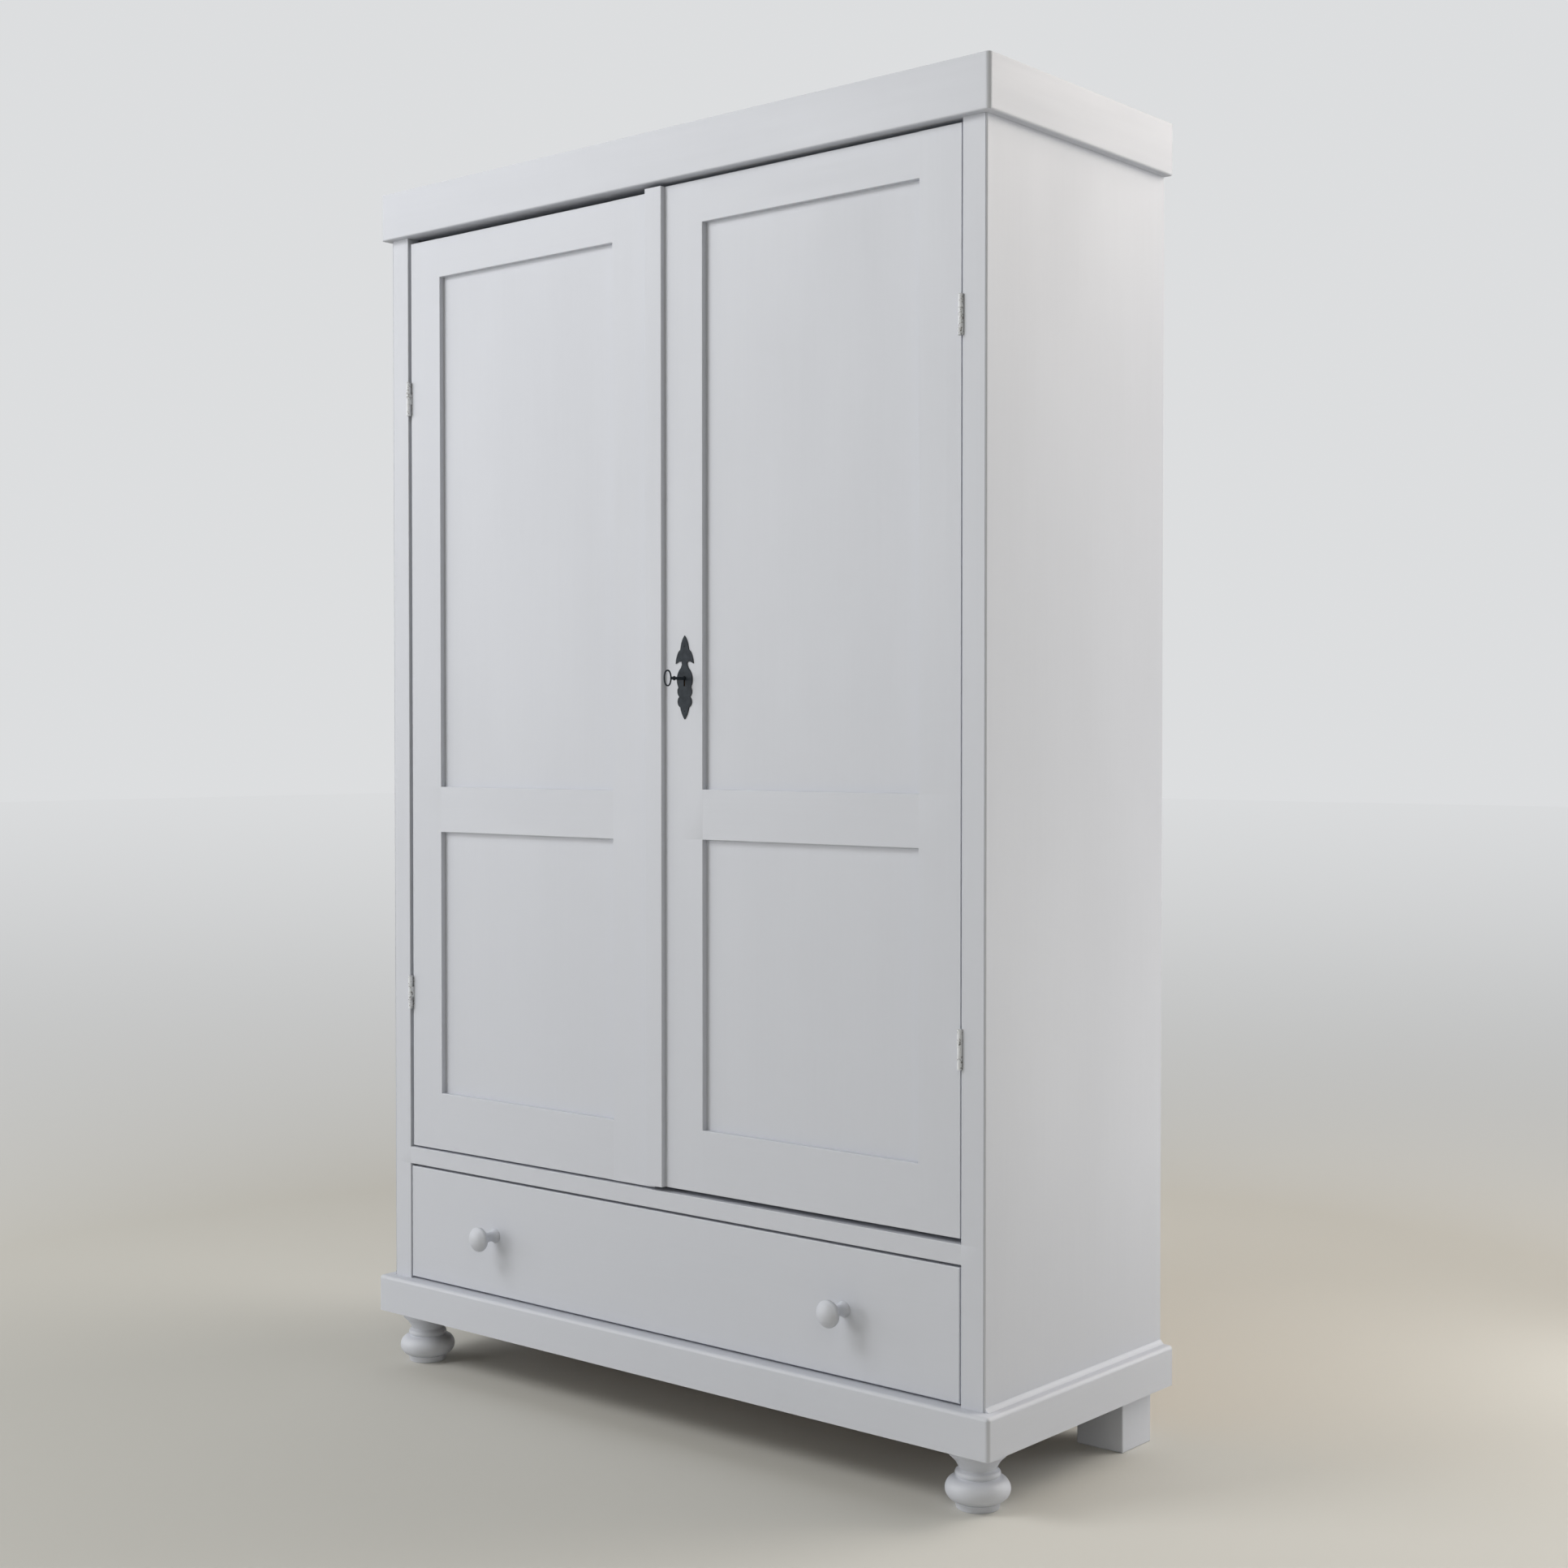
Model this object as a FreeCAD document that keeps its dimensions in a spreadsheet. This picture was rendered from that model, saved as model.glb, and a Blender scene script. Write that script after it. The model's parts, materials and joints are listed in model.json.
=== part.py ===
"""A painted two-door television armoire with one drawer, as a parametric assembly.

Millimetres, +Z up.  The origin lies on the floor under the middle of the whole piece, and the
doors and the drawer face -Y.  Every driving size is a cell of the sheet "sizes"; the sheet
"places" works the shared planes out of them.  Left and right are those of someone who stands
in front of the armoire.
"""
import FreeCAD, Part
import os

import Sketcher
from FreeCAD import Placement, Rotation, Vector

doc = FreeCAD.newDocument("tv_armoire")

# ------------------------------------------------------------------ driving sizes
SIZES = {
    # the whole piece
    "overall_height": 1880,
    "body_width": 1164,
    "body_depth": 438,
    "foot_height": 82,
    # carcass boards
    "side_thickness": 20,
    "stile_width": 38,
    "stile_thickness": 22,
    "stile_round": 2.5,
    "top_thickness": 20,
    "floor_thickness": 20,
    "bottom_thickness": 20,
    "shelf_thickness": 20,
    "shelf_nose": 3,
    "shelf_setback": 55,
    "tv_shelf_height": 880,
    "media_shelf_height": 612,
    "dado_depth": 8,
    "rail_depth": 45,
    "middle_rail_height": 27,
    "drawer_opening_height": 185.5,
    "stub_tenon_length": 15,
    "stub_tenon_thickness": 10,
    "stub_tenon_shoulder": 4.5,
    # back boards
    "back_thickness": 12,
    "back_rebate": 10,
    "back_board_gap": 1,
    "tongue_depth": 5,
    "tongue_thickness": 4,
    "tongue_fit": 0.3,
    "cable_hole_radius": 30,
    "cable_hole_above_shelf": 70,
    # cornice and plinth
    "cornice_height": 73,
    "cornice_overhang": 12.5,
    "cornice_round": 2.5,
    "cornice_lip": 10,
    "plinth_height": 57,
    "plinth_overhang": 19,
    "plinth_round": 5.5,
    # front feet, turned
    "foot_inset": 36,
    "foot_ring_radius": 30.5,
    "foot_ring_base_radius": 28.5,
    "foot_ring_height": 9.5,
    "foot_bun_top_radius": 31.5,
    "foot_bun_top": 42,
    "foot_bun_rise": 12.8,
    "foot_bead_radius": 28,
    "foot_bead_top": 50.5,
    "foot_bead_rise": 2,
    "foot_neck_radius": 25.3,
    "foot_neck_height": 53,
    "foot_cove_top": 71,
    "foot_cove_rise": 1.4,
    "foot_cap_radius": 38.5,
    "foot_spigot_radius": 13.5,
    # back feet, square
    "back_foot_width": 76,
    "back_foot_side_inset": 7,
    "back_foot_back_inset": 15,
    # doors
    "door_top_gap": 9.5,
    "door_thickness": 22,
    "left_door_gap": 5,
    "right_door_gap": 3,
    "door_meeting_gap": 3,
    "left_door_lift": 3,
    "right_door_lift": 7,
    "left_door_recess": 2.5,
    "right_door_recess": 2,
    "hinge_stile_width": 68,
    "left_closing_stile_width": 84,
    "right_closing_stile_width": 92,
    "door_top_rail_width": 61,
    "door_lock_rail_width": 72,
    "door_bottom_rail_width": 90,
    "lock_rail_height": 505.5,
    "panel_recess": 8.5,
    "panel_thickness": 7,
    "panel_tongue": 8,
    "groove_depth": 9,
    "door_tenon_length": 45,
    "tenon_end_room": 1,
    "strip_width": 33,
    "strip_thickness": 7.5,
    "strip_overlap": 11,
    "strip_round": 1.5,
    # butt hinges and screws
    "hinge_height": 51,
    "hinge_end_distance": 247,
    "hinge_leaf_width": 18,
    "hinge_leaf_thickness": 1.5,
    "hinge_axis_proud": 1.5,
    "knuckle_radius": 3.5,
    "knuckle_relief": 0.4,
    "knuckle_gap": 0.2,
    "pin_radius": 1.5,
    "pin_fit": 0.05,
    "pin_head": 1,
    "screw_spread": 15,
    "screw_head_radius": 2.8,
    "screw_head_depth": 1.4,
    "screw_shank_radius": 1.4,
    "screw_length": 14,
    "screw_fit": 0.05,
    # lock, key and escutcheon
    "lock_backset": 58.4,
    "lock_height": 736,
    "lock_case_width": 82,
    "lock_case_depth": 14,
    "lock_case_below": 28,
    "lock_case_above": 42,
    "lock_flange": 10,
    "lock_wall": 1.5,
    "lock_bolt_length": 65,
    "lock_bolt_height": 14,
    "lock_bolt_thickness": 7,
    "lock_bolt_above_key": 9,
    "lock_bolt_fit": 0.3,
    "lock_bolt_set_back": 0.5,
    "lock_bolt_throw": 10,
    "talon_width": 13,
    "talon_depth": 3,
    "keyhole_radius": 4,
    "keyhole_slot_width": 4,
    "keyhole_slot_depth": 12,
    "key_reach": 42.5,
    "key_shaft_radius": 2.3,
    "key_bow_length": 16,
    "key_bow_height": 24,
    "key_wire_radius": 1.2,
    "key_bit_height": 8.2,
    "key_bit_length": 7,
    "key_bit_thickness": 2.4,
    "key_fit": 0.05,
    "plate_height": 120,
    "plate_half_width": 17.1,
    "plate_thickness": 1.5,
    "plate_keyhole_radius": 3.2,
    "plate_slot_width": 3.2,
    "plate_slot_depth": 11,
    "nail_radius": 1.6,
    "nail_head": 0.9,
    "nail_length": 12,
    # surface bolts inside the left door
    "bolt_inset": 34.5,
    "bolt_radius": 4,
    "bolt_fit": 0.1,
    "bolt_plate_width": 30,
    "bolt_plate_length": 100,
    "bolt_plate_thickness": 1.5,
    "bolt_plate_end": 7,
    "bolt_stand_off": 5,
    "bolt_guide_width": 16,
    "bolt_guide_length": 10,
    "bolt_guide_margin": 6,
    "bolt_length": 117,
    "bolt_tip_back": 1,
    "bolt_knob_radius": 3,
    "bolt_knob_reach": 11,
    "bolt_knob_from_tip": 74,
    "bolt_hole_radius": 4.4,
    "bolt_hole_depth": 14,
    # drawer
    "drawer_side_gap": 4,
    "drawer_front_left_gap": 0.8,
    "drawer_front_right_gap": 3.5,
    "drawer_gap_below": 3,
    "drawer_gap_above": 4,
    "drawer_recess": 2,
    "drawer_front_thickness": 22,
    "drawer_front_round": 1.5,
    "drawer_wall": 14,
    "drawer_guide_gap": 1,
    "drawer_lap": 12,
    "drawer_side_height": 170,
    "drawer_run_gap": 0.3,
    "drawer_back_gap": 0.5,
    "drawer_back_drop": 10,
    "drawer_bottom_thickness": 6,
    "drawer_bottom_height": 10,
    "drawer_groove_depth": 6,
    "guide_height": 60,
    # drawer knobs, turned
    "knob_spacing": 695,
    "knob_above_middle": 3.5,
    "knob_spigot_radius": 6,
    "knob_spigot_length": 18,
    "knob_fit": 0.05,
    "knob_base_radius": 11,
    "knob_neck_radius": 7.5,
    "knob_neck_height": 16,
    "knob_head_radius": 19,
    "knob_head_height": 29.5,
    "knob_head_thickness": 9.5,
    "knob_rim_rise": 3,
    "knob_projection": 46,
    "knob_under_rise": 2.6,
    "knob_base_rise": 1.8,
}

# ------------------------------------------------------------------ shared planes
PLACES = {
    "face_y": "(sizes.knob_projection - sizes.drawer_recess - sizes.body_depth) / 2",
    "back_y": "face_y + sizes.body_depth",
    "stile_back_y": "face_y + sizes.stile_thickness",
    "rail_back_y": "face_y + sizes.rail_depth",
    "back_board_y": "back_y - sizes.back_thickness",
    "half_width": "sizes.body_width / 2",
    "side_inner": "half_width - sizes.side_thickness",
    "opening_half": "half_width - sizes.stile_width",
    "plinth_top": "sizes.foot_height + sizes.plinth_height",
    "cornice_bottom": "sizes.overall_height - sizes.cornice_height",
    "top_upper": "sizes.overall_height - sizes.cornice_lip",
    "top_lower": "top_upper - sizes.top_thickness",
    "bottom_lower": "plinth_top - sizes.bottom_thickness",
    "drawer_top": "plinth_top + sizes.drawer_opening_height",
    "rail_top": "drawer_top + sizes.middle_rail_height",
    "floor_lower": "rail_top - sizes.floor_thickness",
    "left_door_outer": "opening_half - sizes.left_door_gap",
    "right_door_outer": "opening_half - sizes.right_door_gap",
    "left_edge": "sizes.strip_width / 2 - sizes.strip_overlap",
    "right_door_start": "sizes.door_meeting_gap - left_edge",
    "left_door_y": "face_y + sizes.left_door_recess",
    "right_door_y": "face_y + sizes.right_door_recess",
    "left_door_back_y": "left_door_y + sizes.door_thickness",
    "right_door_back_y": "right_door_y + sizes.door_thickness",
    "left_door_z": "rail_top + sizes.left_door_lift",
    "door_height": "cornice_bottom - sizes.door_top_gap - left_door_z",
    "right_door_z": "rail_top + sizes.right_door_lift",
    "left_door_top_z": "left_door_z + door_height",
    "right_door_top_z": "right_door_z + door_height",
    "left_hinge_x": "opening_half - sizes.left_door_gap / 2",
    "right_hinge_x": "opening_half - sizes.right_door_gap / 2",
    "hinge_y": "face_y - sizes.hinge_axis_proud",
    "lock_x": "right_door_start + sizes.lock_backset",
    "lock_z": "right_door_z + sizes.lock_height",
    "bolt_x": "-left_edge - sizes.bolt_inset",
    "bolt_y": "left_door_back_y + sizes.bolt_plate_thickness + sizes.bolt_stand_off",
    "drawer_y": "face_y + sizes.drawer_recess",
    "drawer_front_back_y": "drawer_y + sizes.drawer_front_thickness",
    "drawer_front_z": "plinth_top + sizes.drawer_gap_below",
    "drawer_front_top_z": "drawer_top - sizes.drawer_gap_above",
    "knob_z": "(drawer_front_z + drawer_front_top_z) / 2 + sizes.knob_above_middle",
    "drawer_end_y": "back_board_y - sizes.drawer_back_gap",
    "drawer_front_left": "-(opening_half - sizes.drawer_front_left_gap)",
    "drawer_front_right": "opening_half - sizes.drawer_front_right_gap",
    "drawer_half": "opening_half - sizes.drawer_side_gap",
    "drawer_side_inner": "drawer_half - sizes.drawer_wall",
    "drawer_side_z": "plinth_top + sizes.drawer_run_gap",
    "drawer_bottom_z": "drawer_side_z + sizes.drawer_bottom_height",
    "drawer_bottom_top_z": "drawer_bottom_z + sizes.drawer_bottom_thickness",
}

BACK_BOARDS = 7
# One half of the escutcheon, upwards from its lower tip, as shares of its half-width and height;
# a third number is the rise of the rounded lobe that runs on to the next point, as a share of
# the half-width.
SPEAR = [
    (0, 0, 0.07), (0.47, 0.141), (0.57, 0.15, 0.2), (0.6, 0.27, 0.16), (0.69, 0.382, 0.3),
    (0.42, 0.612), (0.29, 0.655), (0.33, 0.688), (0.64, 0.69), (1, 0.664, 0.06), (0.7, 0.805),
    (0.48, 0.832), (0.41, 0.879, 0.06), (0, 1),
]
SPEAR_KEYHOLE = 0.488
SPEAR_NAILS = (0.872, 0.099)

TURNS = {
    "+x": Rotation(Vector(0, 1, 0), 90),
    "-x": Rotation(Vector(0, 1, 0), -90),
    "+y": Rotation(Vector(1, 0, 0), -90),
    "-y": Rotation(Vector(1, 0, 0), 90),
    "+z": Rotation(),
    "-z": Rotation(Vector(1, 0, 0), 180),
}


def fill_sheet(name, cells, formula):
    """One row for each alias: its name in column A, its value or formula in column B."""
    table = doc.addObject("Spreadsheet::Sheet", name)
    for row, (alias, value) in enumerate(cells.items(), start=1):
        table.set(f"A{row}", alias)
        table.set(f"B{row}", formula.format(value))
        table.setAlias(f"B{row}", alias)
    doc.recompute()
    return table


sizes = fill_sheet("sizes", SIZES, "{}")
places = fill_sheet("places", PLACES, "={}")
pieces = []


def number(formula):
    """The value that a formula has now."""
    return float(sizes.evalExpression(formula))


def mirrored(side, near, far):
    """The x range of something that lies between near and far from the middle, on one side."""
    return (near, far) if side == "right" else (f"-({far})", f"-({near})")


def on_side(side, distance):
    """The x of a plane or axis at a distance from the middle, on one side."""
    return distance if side == "right" else f"-({distance})"


def outwards(side):
    return "+x" if side == "right" else "-x"


def inwards(side):
    return "-x" if side == "right" else "+x"


# ------------------------------------------------------------------ building blocks
def set_place(item, at, turn="+z"):
    item.Placement = Placement(Vector(), TURNS[turn])
    for axis, formula in zip("xyz", at):
        item.setExpression(f"Placement.Base.{axis}", formula)


def block(name, x, y, z):
    box = doc.addObject("Part::Box", name)
    set_place(box, (x[0], y[0], z[0]))
    for side, (low, high) in zip(("Length", "Width", "Height"), (x, y, z)):
        box.setExpression(side, f"({high}) - ({low})")
    return box


def rod(name, radius, at, turn, length):
    cylinder = doc.addObject("Part::Cylinder", name)
    set_place(cylinder, at, turn)
    cylinder.setExpression("Radius", radius)
    cylinder.setExpression("Height", length)
    return cylinder


def taper(name, radii, at, turn, length):
    cone = doc.addObject("Part::Cone", name)
    set_place(cone, at, turn)
    cone.setExpression("Radius1", radii[0])
    cone.setExpression("Radius2", radii[1])
    cone.setExpression("Height", length)
    return cone


def join(name, shapes):
    fused = doc.addObject("Part::MultiFuse", name)
    fused.Shapes = shapes
    fused.Refine = True
    return fused


def cut(name, base, tools):
    result = doc.addObject("Part::Cut", name)
    result.Base = base
    result.Tool = tools[0] if len(tools) == 1 else join(f"{name}_tools", tools)
    result.Refine = True
    return result


def group(name, members):
    """Several separate solids that share one node."""
    compound = doc.addObject("Part::Compound", name)
    compound.Links = members
    return compound


def edges_where(shape, test):
    return [i for i, edge in enumerate(shape.Edges, start=1) if test(edge.BoundBox)]


def soften(name, base, radius, test):
    """Round the edges of a block that the test picks by their bounding box."""
    doc.recompute()
    rounded = doc.addObject("Part::Fillet", name)
    rounded.Base = base
    size = number(radius)
    rounded.Edges = [(index, size, size) for index in edges_where(base.Shape, test)]
    return rounded


def piece(item, label):
    item.Label = label
    pieces.append(item)
    return item


# ------------------------------------------------------------------ sketched bodies
def arc_between(start, end, radius, bulge):
    """A short arc that bulges to the left (+1) or right (-1) of the way from start to end."""
    chord = end - start
    middle = (start + end) * 0.5
    left = Vector(-chord.y, chord.x, 0).normalize()
    depth = max(radius ** 2 - (chord.Length / 2) ** 2, 0) ** 0.5
    centre = middle - left * bulge * depth
    angles = [(point - centre).getAngle(Vector(1, 0, 0)) for point in (start, end)]
    angles = [a if point.y >= centre.y else -a for a, point in zip(angles, (start, end))]
    circle = Part.Circle(centre, Vector(0, 0, 1), radius)
    first, last = angles if bulge < 0 else reversed(angles)
    return Part.ArcOfCircle(circle, first, last)


def arc_radius(start, end, rise):
    """The radius of an arc from its two ends and its rise above the chord."""
    chord = f"((({end[0]}) - ({start[0]})) ^ 2 + (({end[1]}) - ({start[1]})) ^ 2)"
    return f"{chord} / (8 * ({rise})) + ({rise}) / 2"


def draw_outline(sketch, outline):
    """A closed outline.  Each point is (u, v), or (u, v, rise, bulge) where an arc follows."""
    spots = [Vector(number(point[0]), number(point[1]), 0) for point in outline]
    joints = []
    for index, point in enumerate(outline):
        following = (index + 1) % len(outline)
        start, end = spots[index], spots[following]
        if len(point) == 2:
            sketch.addGeometry(Part.LineSegment(start, end))
            joints.append((1, 2))
            continue
        radius = arc_radius(point, outline[following], point[2])
        sketch.addGeometry(arc_between(start, end, number(radius), point[3]))
        joints.append((1, 2) if point[3] < 0 else (2, 1))
        row = sketch.addConstraint(Sketcher.Constraint("Radius", index, number(radius)))
        sketch.setExpression(f"Constraints[{row}]", radius)
    for index, point in enumerate(outline):
        start_end = joints[index][0]
        before = index - 1 if index else len(outline) - 1
        sketch.addConstraint(
            Sketcher.Constraint("Coincident", before, joints[before][1], index, start_end))
        for kind, axis, formula in (("DistanceX", -2, point[0]), ("DistanceY", -1, point[1])):
            if number(formula) == 0:
                sketch.addConstraint(Sketcher.Constraint("PointOnObject", index, start_end, axis))
                continue
            row = sketch.addConstraint(
                Sketcher.Constraint(kind, -1, 1, index, start_end, number(formula)))
            sketch.setExpression(f"Constraints[{row}]", formula)


def new_sketch(body, name, plane):
    sketch = body.newObject("Sketcher::SketchObject", name)
    origin_plane = next(item for item in body.Origin.OriginFeatures if item.Role == plane)
    sketch.AttachmentSupport = [(origin_plane, "")]
    sketch.MapMode = "FlatFace"
    return sketch


def turned(label, outline, at, turn):
    """A piece turned about its own upright axis; outline holds radius and height."""
    body = doc.addObject("PartDesign::Body", label)
    sketch = new_sketch(body, f"{label}_profile", "XZ_Plane")
    draw_outline(sketch, outline)
    spin = body.newObject("PartDesign::Revolution", f"{label}_turning")
    spin.Profile = sketch
    spin.ReferenceAxis = (sketch, ["V_Axis"])
    spin.Angle = 360
    body.Tip = spin
    set_place(body, at, turn)
    return piece(body, label)


def sawn(label, x, y, z):
    """A board sawn square, as a sketched rectangle padded upwards."""
    body = doc.addObject("PartDesign::Body", label)
    sketch = new_sketch(body, f"{label}_rectangle", "XY_Plane")
    width, depth = f"({x[1]}) - ({x[0]})", f"({y[1]}) - ({y[0]})"
    draw_outline(sketch, [("0", "0"), (width, "0"), (width, depth), ("0", depth)])
    pad = body.newObject("PartDesign::Pad", f"{label}_pad")
    pad.Profile = sketch
    pad.setExpression("Length", f"({z[1]}) - ({z[0]})")
    body.Tip = pad
    set_place(body, (x[0], y[0], z[0]))
    return piece(body, label)


# ------------------------------------------------------------------ screws
def screw(name, at, turn, room="0"):
    """A countersunk wood screw, or with room the hole that it fits in."""
    head = taper(f"{name}_head", (f"sizes.screw_head_radius + {room}",
                 f"sizes.screw_shank_radius + {room}"), at, turn, "sizes.screw_head_depth")
    shank = rod(f"{name}_shank", f"sizes.screw_shank_radius + {room}", at, turn,
                f"sizes.screw_length + {room}")
    return join(name, [head, shank])


class Screws:
    """The screws of one body, and the holes that its pieces need for them."""

    def __init__(self, label):
        self.label = label
        self.solids = []

    def drive(self, at, turn):
        name = f"{self.label}_{len(self.solids) + 1}"
        self.solids.append(screw(name, at, turn))
        return screw(f"{name}_hole", at, turn, "sizes.screw_fit")

    def finish(self):
        return piece(group(self.label, self.solids), self.label)


frame_screws = Screws("frame_hinge_screws")
door_screws = {"left": Screws("left_door_screws"), "right": Screws("right_door_screws")}


# ------------------------------------------------------------------ hinges
HINGE_LEVELS = ("lower", "upper")


def hinge_middle(side, level):
    """The height of a hinge's middle."""
    if level == "lower":
        return f"places.{side}_door_z + sizes.hinge_end_distance"
    return f"places.{side}_door_top_z - sizes.hinge_end_distance"


def around(middle, length):
    return f"{middle} - ({length}) / 2", f"{middle} + ({length}) / 2"


def hinge_leaf(name, side, level, fixed, leaf_x, leaf_y, holes):
    """A leaf with its knuckles: two outer ones on the fixed leaf, the middle one on the door's."""
    middle = hinge_middle(side, level)
    third = "sizes.hinge_height / 3"
    axis = (on_side(side, f"places.{side}_hinge_x"), "places.hinge_y")
    low, high = around(middle, "sizes.hinge_height")
    gap = "sizes.knuckle_gap"
    if fixed:
        spans = [(low, f"{low} + {third}"), (f"{high} - {third}", high)]
    else:
        spans = [(f"{low} + {third} + {gap}", f"{high} - {third} - {gap}")]
    solids = [block(f"{name}_plate", leaf_x, leaf_y, (low, high))]
    for index, (start, end) in enumerate(spans, start=1):
        solids.append(block(f"{name}_neck_{index}", leaf_x, (axis[1], leaf_y[0]), (start, end)))
        solids.append(rod(f"{name}_knuckle_{index}", "sizes.knuckle_radius",
                          (*axis, start), "+z", f"({end}) - ({start})"))
    bore = rod(f"{name}_bore", "sizes.pin_radius + sizes.pin_fit", (*axis, low), "+z",
               "sizes.hinge_height")
    return cut(name, join(f"{name}_solid", solids), [bore, *holes])


def hinge_pin(name, side, level):
    """The pin, with a button on each end."""
    low, high = around(hinge_middle(side, level), "sizes.hinge_height")
    axis = (on_side(side, f"places.{side}_hinge_x"), "places.hinge_y")
    shank = rod(f"{name}_shank", "sizes.pin_radius", (*axis, low), "+z", "sizes.hinge_height")
    buttons = [
        rod(f"{name}_{end}", "sizes.knuckle_radius", (*axis, start), "+z", "sizes.pin_head")
        for end, start in (("foot", f"{low} - sizes.pin_head"), ("cap", high))
    ]
    return join(name, [shank, *buttons])


def hinge_screw_spots(side, level, x, leaf_y):
    middle = hinge_middle(side, level)
    y = f"{leaf_y[0]} + sizes.hinge_leaf_width * 0.6"
    return [(x, y, f"{middle} {sign} sizes.screw_spread") for sign in ("-", "+")]


def frame_hinges(side):
    """The fixed halves on one front stile, and what the stile gives up for them."""
    near = "places.opening_half"
    leaf_x = mirrored(side, near, f"{near} + sizes.hinge_leaf_thickness")
    leaf_y = (f"places.{side}_door_y", f"places.{side}_door_y + sizes.hinge_leaf_width")
    halves, tools = [], []
    for level in HINGE_LEVELS:
        name = f"{side}_{level}_frame_leaf"
        spots = hinge_screw_spots(side, level, on_side(side, near), leaf_y)
        holes = [frame_screws.drive(spot, outwards(side)) for spot in spots]
        halves.append(hinge_leaf(name, side, level, True, leaf_x, leaf_y, holes))
        halves.append(hinge_pin(f"{side}_{level}_pin", side, level))
        low, high = around(hinge_middle(side, level), "sizes.hinge_height")
        tools.append(block(f"{name}_gain", leaf_x, ("places.face_y", leaf_y[1]), (low, high)))
        room = "sizes.pin_head + sizes.knuckle_relief"
        axis = (on_side(side, f"places.{side}_hinge_x"), "places.hinge_y")
        tools.append(rod(f"{name}_relief", "sizes.knuckle_radius + sizes.knuckle_relief",
                         (*axis, f"{low} - ({room})"), "+z",
                         f"sizes.hinge_height + 2 * ({room})"))
        tools.extend(holes)
    return halves, tools


def door_hinges(side):
    """The moving leaves of one door, and what its hinge stile gives up for them."""
    far = f"places.{side}_door_outer"
    leaf_x = mirrored(side, f"{far} - sizes.hinge_leaf_thickness", far)
    leaf_y = (f"places.{side}_door_y", f"places.{side}_door_y + sizes.hinge_leaf_width")
    leaves, tools = [], []
    for level in HINGE_LEVELS:
        name = f"{side}_{level}_door_leaf"
        spots = hinge_screw_spots(side, level, on_side(side, far), leaf_y)
        holes = [door_screws[side].drive(spot, inwards(side)) for spot in spots]
        leaves.append(hinge_leaf(name, side, level, False, leaf_x, leaf_y, holes))
        span = around(hinge_middle(side, level), "sizes.hinge_height")
        tools.append(block(f"{name}_gain", leaf_x, leaf_y, span))
        tools.extend(holes)
    piece(group(f"{side}_door_hinge_leaves", leaves), f"{side}_door_hinge_leaves")
    return tools


# ------------------------------------------------------------------ carcass
def stub_tenon_y():
    middle = "places.face_y + sizes.stile_thickness / 2"
    return around(middle, "sizes.stub_tenon_thickness")


def stub_tenon_z(rail):
    return f"{rail[0]} + sizes.stub_tenon_shoulder", f"{rail[1]} - sizes.stub_tenon_shoulder"


TOP_RAIL = ("places.cornice_bottom", "places.top_lower")
MIDDLE_RAIL = ("places.drawer_top", "places.rail_top")
STUB_END = "places.opening_half + sizes.stub_tenon_length"
DADO_END = "places.side_inner + sizes.dado_depth"
SHELVES = {"tv_shelf": "sizes.tv_shelf_height", "media_shelf": "sizes.media_shelf_height"}


def front_stile(side, hinge_tools):
    """The upright of the face frame, with mortises for the rails and its outer arris rounded."""
    x = mirrored(side, "places.opening_half", "places.half_width")
    y = ("places.face_y", "places.stile_back_y")
    upright = block(f"{side}_stile_blank", x, y, ("sizes.foot_height", "places.top_lower"))
    outer = number(on_side(side, "places.half_width"))
    face = number("places.face_y")

    def arris(box):
        return box.ZLength > 1 and abs(box.XMin - outer) < 0.01 and abs(box.YMin - face) < 0.01 \
            and box.XLength < 0.01 and box.YLength < 0.01

    rounded = soften(f"{side}_stile_rounded", upright, "sizes.stile_round", arris)
    mortises = [
        block(f"{side}_stile_mortise_{index}", mirrored(side, "places.opening_half", STUB_END),
              stub_tenon_y(), stub_tenon_z(rail))
        for index, rail in enumerate((MIDDLE_RAIL, TOP_RAIL), start=1)
    ]
    label = f"{side}_front_stile"
    return piece(cut(label, rounded, [*mortises, *hinge_tools]), label)


def side_panel(side):
    """A side, from behind the stile to the back, with a rebate and dados."""
    x = mirrored(side, "places.side_inner", "places.half_width")
    y = ("places.stile_back_y", "places.back_y")
    panel = block(f"{side}_side_blank", x, y, ("sizes.foot_height", "places.top_lower"))
    rebate_x = mirrored(side, "places.side_inner", "places.side_inner + sizes.back_rebate")
    rebate = block(f"{side}_side_rebate", rebate_x, ("places.back_board_y", "places.back_y"),
                   ("sizes.foot_height", "places.top_lower"))
    dado_x = mirrored(side, "places.side_inner", DADO_END)
    levels = {
        "bottom": ("places.stile_back_y", "places.bottom_lower", "places.plinth_top"),
        "floor": ("places.rail_back_y", "places.floor_lower", "places.rail_top"),
    }
    for name, height in SHELVES.items():
        levels[name] = ("places.face_y + sizes.shelf_setback", f"{height} - sizes.shelf_thickness",
                        height)
    dados = [
        block(f"{side}_side_dado_{name}", dado_x, (front, "places.back_board_y"), (low, high))
        for name, (front, low, high) in levels.items()
    ]
    label = f"{side}_side_panel"
    return piece(cut(label, panel, [rebate, *dados]), label)


def face_rail(label, rail, bolt_hole):
    """A rail between the front stiles, with a stub tenon at each end and the bolt's hole."""
    between = ("-places.opening_half", "places.opening_half")
    body = block(f"{label}_body", between, ("places.face_y", "places.rail_back_y"), rail)
    tenon = block(f"{label}_tenon", (f"-({STUB_END})", STUB_END), stub_tenon_y(),
                  stub_tenon_z(rail))
    return piece(cut(label, join(f"{label}_solid", [body, tenon]), [bolt_hole]), label)


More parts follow.
